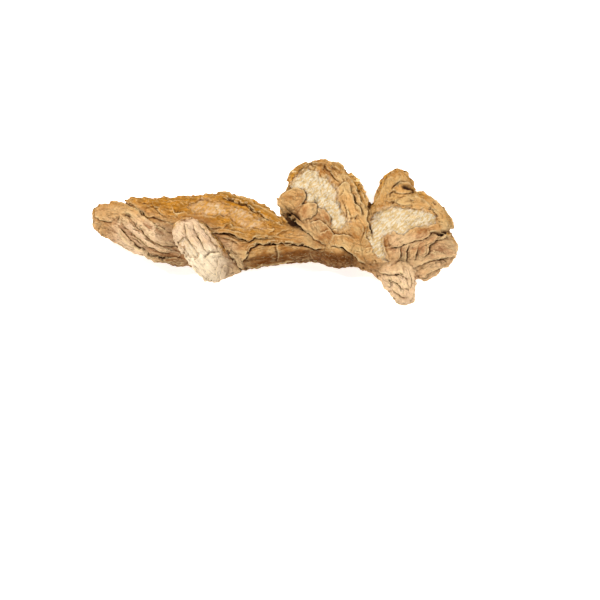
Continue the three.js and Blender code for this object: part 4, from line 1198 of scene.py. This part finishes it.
# %% Marks over both, each with how much of its colour it takes at most: painted highlight on crests and lips, painted shade in folds, hollows, cracks and holes, and the skin's own scars and specks
for share, most, tint in (
        # Painted shade along the long finger's folds.
        (finger_shade, 0.55, BROWN),
        # Painted highlight on crests, partly rubbed skin, and on lips and sheet edges.
        (value_of("crest"), 0.6, CREST),
        (fold_lip, 0.75, CREST),
        (ledge_lip, 0.5, CREST),
        (sheet_lip, 0.45, CREST),
        # Painted shade past sheet edges.
        (sheet_crack, 0.55, SHADED),
        (skin_edge, 0.6, BROWN),
        # Painted shade in wide hollows, beside folds, in fine wrinkles, past ledges, in small hollows
        # and in fold gutters.
        (value_of("sunken_shade"), 0.7, BROWN),
        (band(value_of("sunken_shade"), 0.45, 1.0), 0.6, SHADED),
        (fold_shade, 0.5, SHADED),
        (wrinkle_line, 0.45, BROWN),
        (ledge_crack, 0.55, CRACK),
        (value_of("crack"), 0.85, CRACK),
        (fold_dark, 0.92, CRACK),
        (times(value_of("scar"), band(small, 0.40, 0.56, 0.35, 1)), 0.9, SCAR),
        # Painted shade in the holes.
        (times(value_of("hole"), 1.5), 0.95, CRACK),
        (band(speck, 0.70, 0.76), 0.5, CRACK)):
    colour = colour_mix(times(share, most, clamp=True), colour, tint)
richer = node("ShaderNodeHueSaturation")
richer.inputs["Saturation"].default_value = 1.03
links.new(colour, richer.inputs["Color"])
links.new(richer.outputs["Color"], shader.inputs["Base Color"])
shader.inputs["Specular IOR Level"].default_value = 0.15
links.new(band(medium, 0.3, 0.7, 0.72, 0.92), shader.inputs["Roughness"])
print(len(nodes), "nodes with the marks")

# %% Relief that is finer than the mesh, in millimetres
grit = noise_node(on_piece, 2400, 3, 0.6)
fine_relief = times(fine_streak, 0.35)
for share, depth in (
        (grit, 0.20), (small, 0.42), (fibre_line, -0.05), (sheet_step, 0.16),
        (wrinkle_line, -0.12), (fold_crack, -0.30), (fold_lip, 0.12), (ledge_step, 0.10),
        (ledge_crack, -0.12), (skin_edge, 0.10), (times(scratch, bare_share), -0.5)):
    fine_relief = calculate("ADD", fine_relief, times(share, depth))
bump = node("ShaderNodeBump")
bump.inputs["Strength"].default_value = 1.0
bump.inputs["Distance"].default_value = MM
links.new(fine_relief, bump.inputs["Height"])
links.new(bump.outputs["Normal"], shader.inputs["Normal"])
for piece in (root, loose):
    piece.data.materials.append(material)
print(material.name, "has", len(nodes), "nodes")

# %% [markdown]
# ## Floor, light and camera
#
# A white floor under a lamp comes out grey, so this one glows a little and comes out white. A
# small lamp on the left brings out the relief, and a weaker, wider one on the right opens its
# shadows. The camera has a long lens and stands far off, so the root is seen with next to no
# perspective, as the drawing plane has it.

# %% Floor
FLOOR_HALF = 1.5  # metres
floor_mesh = bpy.data.meshes.new("floor")
floor_corners = [(-FLOOR_HALF, -FLOOR_HALF, 0), (FLOOR_HALF, -FLOOR_HALF, 0),
                 (FLOOR_HALF, FLOOR_HALF, 0), (-FLOOR_HALF, FLOOR_HALF, 0)]
floor_mesh.from_pydata(floor_corners, [], [(0, 1, 2, 3)])
floor = bpy.data.objects.new("floor", floor_mesh)
bpy.context.collection.objects.link(floor)
white = bpy.data.materials.new("pale_floor")
white.use_nodes = True
for socket, value in (("Base Color", (0.93, 0.92, 0.90, 1)), ("Roughness", 0.9),
                      ("Emission Color", (1, 1, 1, 1)), ("Emission Strength", 0.75)):
    white.node_tree.nodes["Principled BSDF"].inputs[socket].default_value = value
floor_mesh.materials.append(white)
print("floor:", 2 * FLOOR_HALF, "m wide")

# %% Light
world = bpy.data.worlds.new("studio")
bpy.context.scene.world = world
world.use_nodes = True
world.node_tree.nodes["Background"].inputs["Color"].default_value = (1.0, 0.985, 0.96, 1)
world.node_tree.nodes["Background"].inputs["Strength"].default_value = 0.28


def round_lamp(name, place, size, power):
    """A lamp of this many metres across and this many watts, which looks at the root."""
    data = bpy.data.lights.new(name, "AREA")
    data.shape = "DISK"
    data.size, data.energy, data.color = size, power, (1, 0.98, 0.95)
    lamp = bpy.data.objects.new(name, data)
    lamp.location = place
    lamp.rotation_euler = (-Vector(place)).to_track_quat("-Z", "Y").to_euler()
    bpy.context.collection.objects.link(lamp)
    print(name, "lamp:", power, "W")


round_lamp("key", (-0.36, 0.08, 0.56), 0.14, 4.9)
round_lamp("fill", (0.46, -0.06, 0.40), 0.20, 2.4)
bpy.context.scene.view_settings.view_transform = "Standard"

# %% Camera
PIXELS = 600
PIXELS_PER_MM = 3.486
ROOT_MIDDLE_X, ROOT_TOP_Y = 274, 158  # the photograph's pixels, from its top left corner
camera_data = bpy.data.cameras.new("camera")
camera_data.lens, camera_data.sensor_width = 200, 36
camera_data.clip_start, camera_data.clip_end = 0.05, 10
camera = bpy.data.objects.new("camera", camera_data)
bpy.context.collection.objects.link(camera)
bpy.context.scene.camera = camera
aim_x = (PIXELS / 2 - ROOT_MIDDLE_X) / PIXELS_PER_MM
aim_v = (placed @ UP).max() - (PIXELS / 2 - ROOT_TOP_Y) / PIXELS_PER_MM
aim = Vector((aim_x, aim_v / np.sin(TILT), 0)) * MM
to_camera = Vector(FACING)
away = PIXELS / PIXELS_PER_MM * MM * camera_data.lens / camera_data.sensor_width
camera.location = aim + to_camera * away
camera.rotation_euler = (-to_camera).to_track_quat("-Z", "Y").to_euler()
print("camera:", round(away, 3), "m from", [round(c * 1000, 1) for c in aim], "mm")
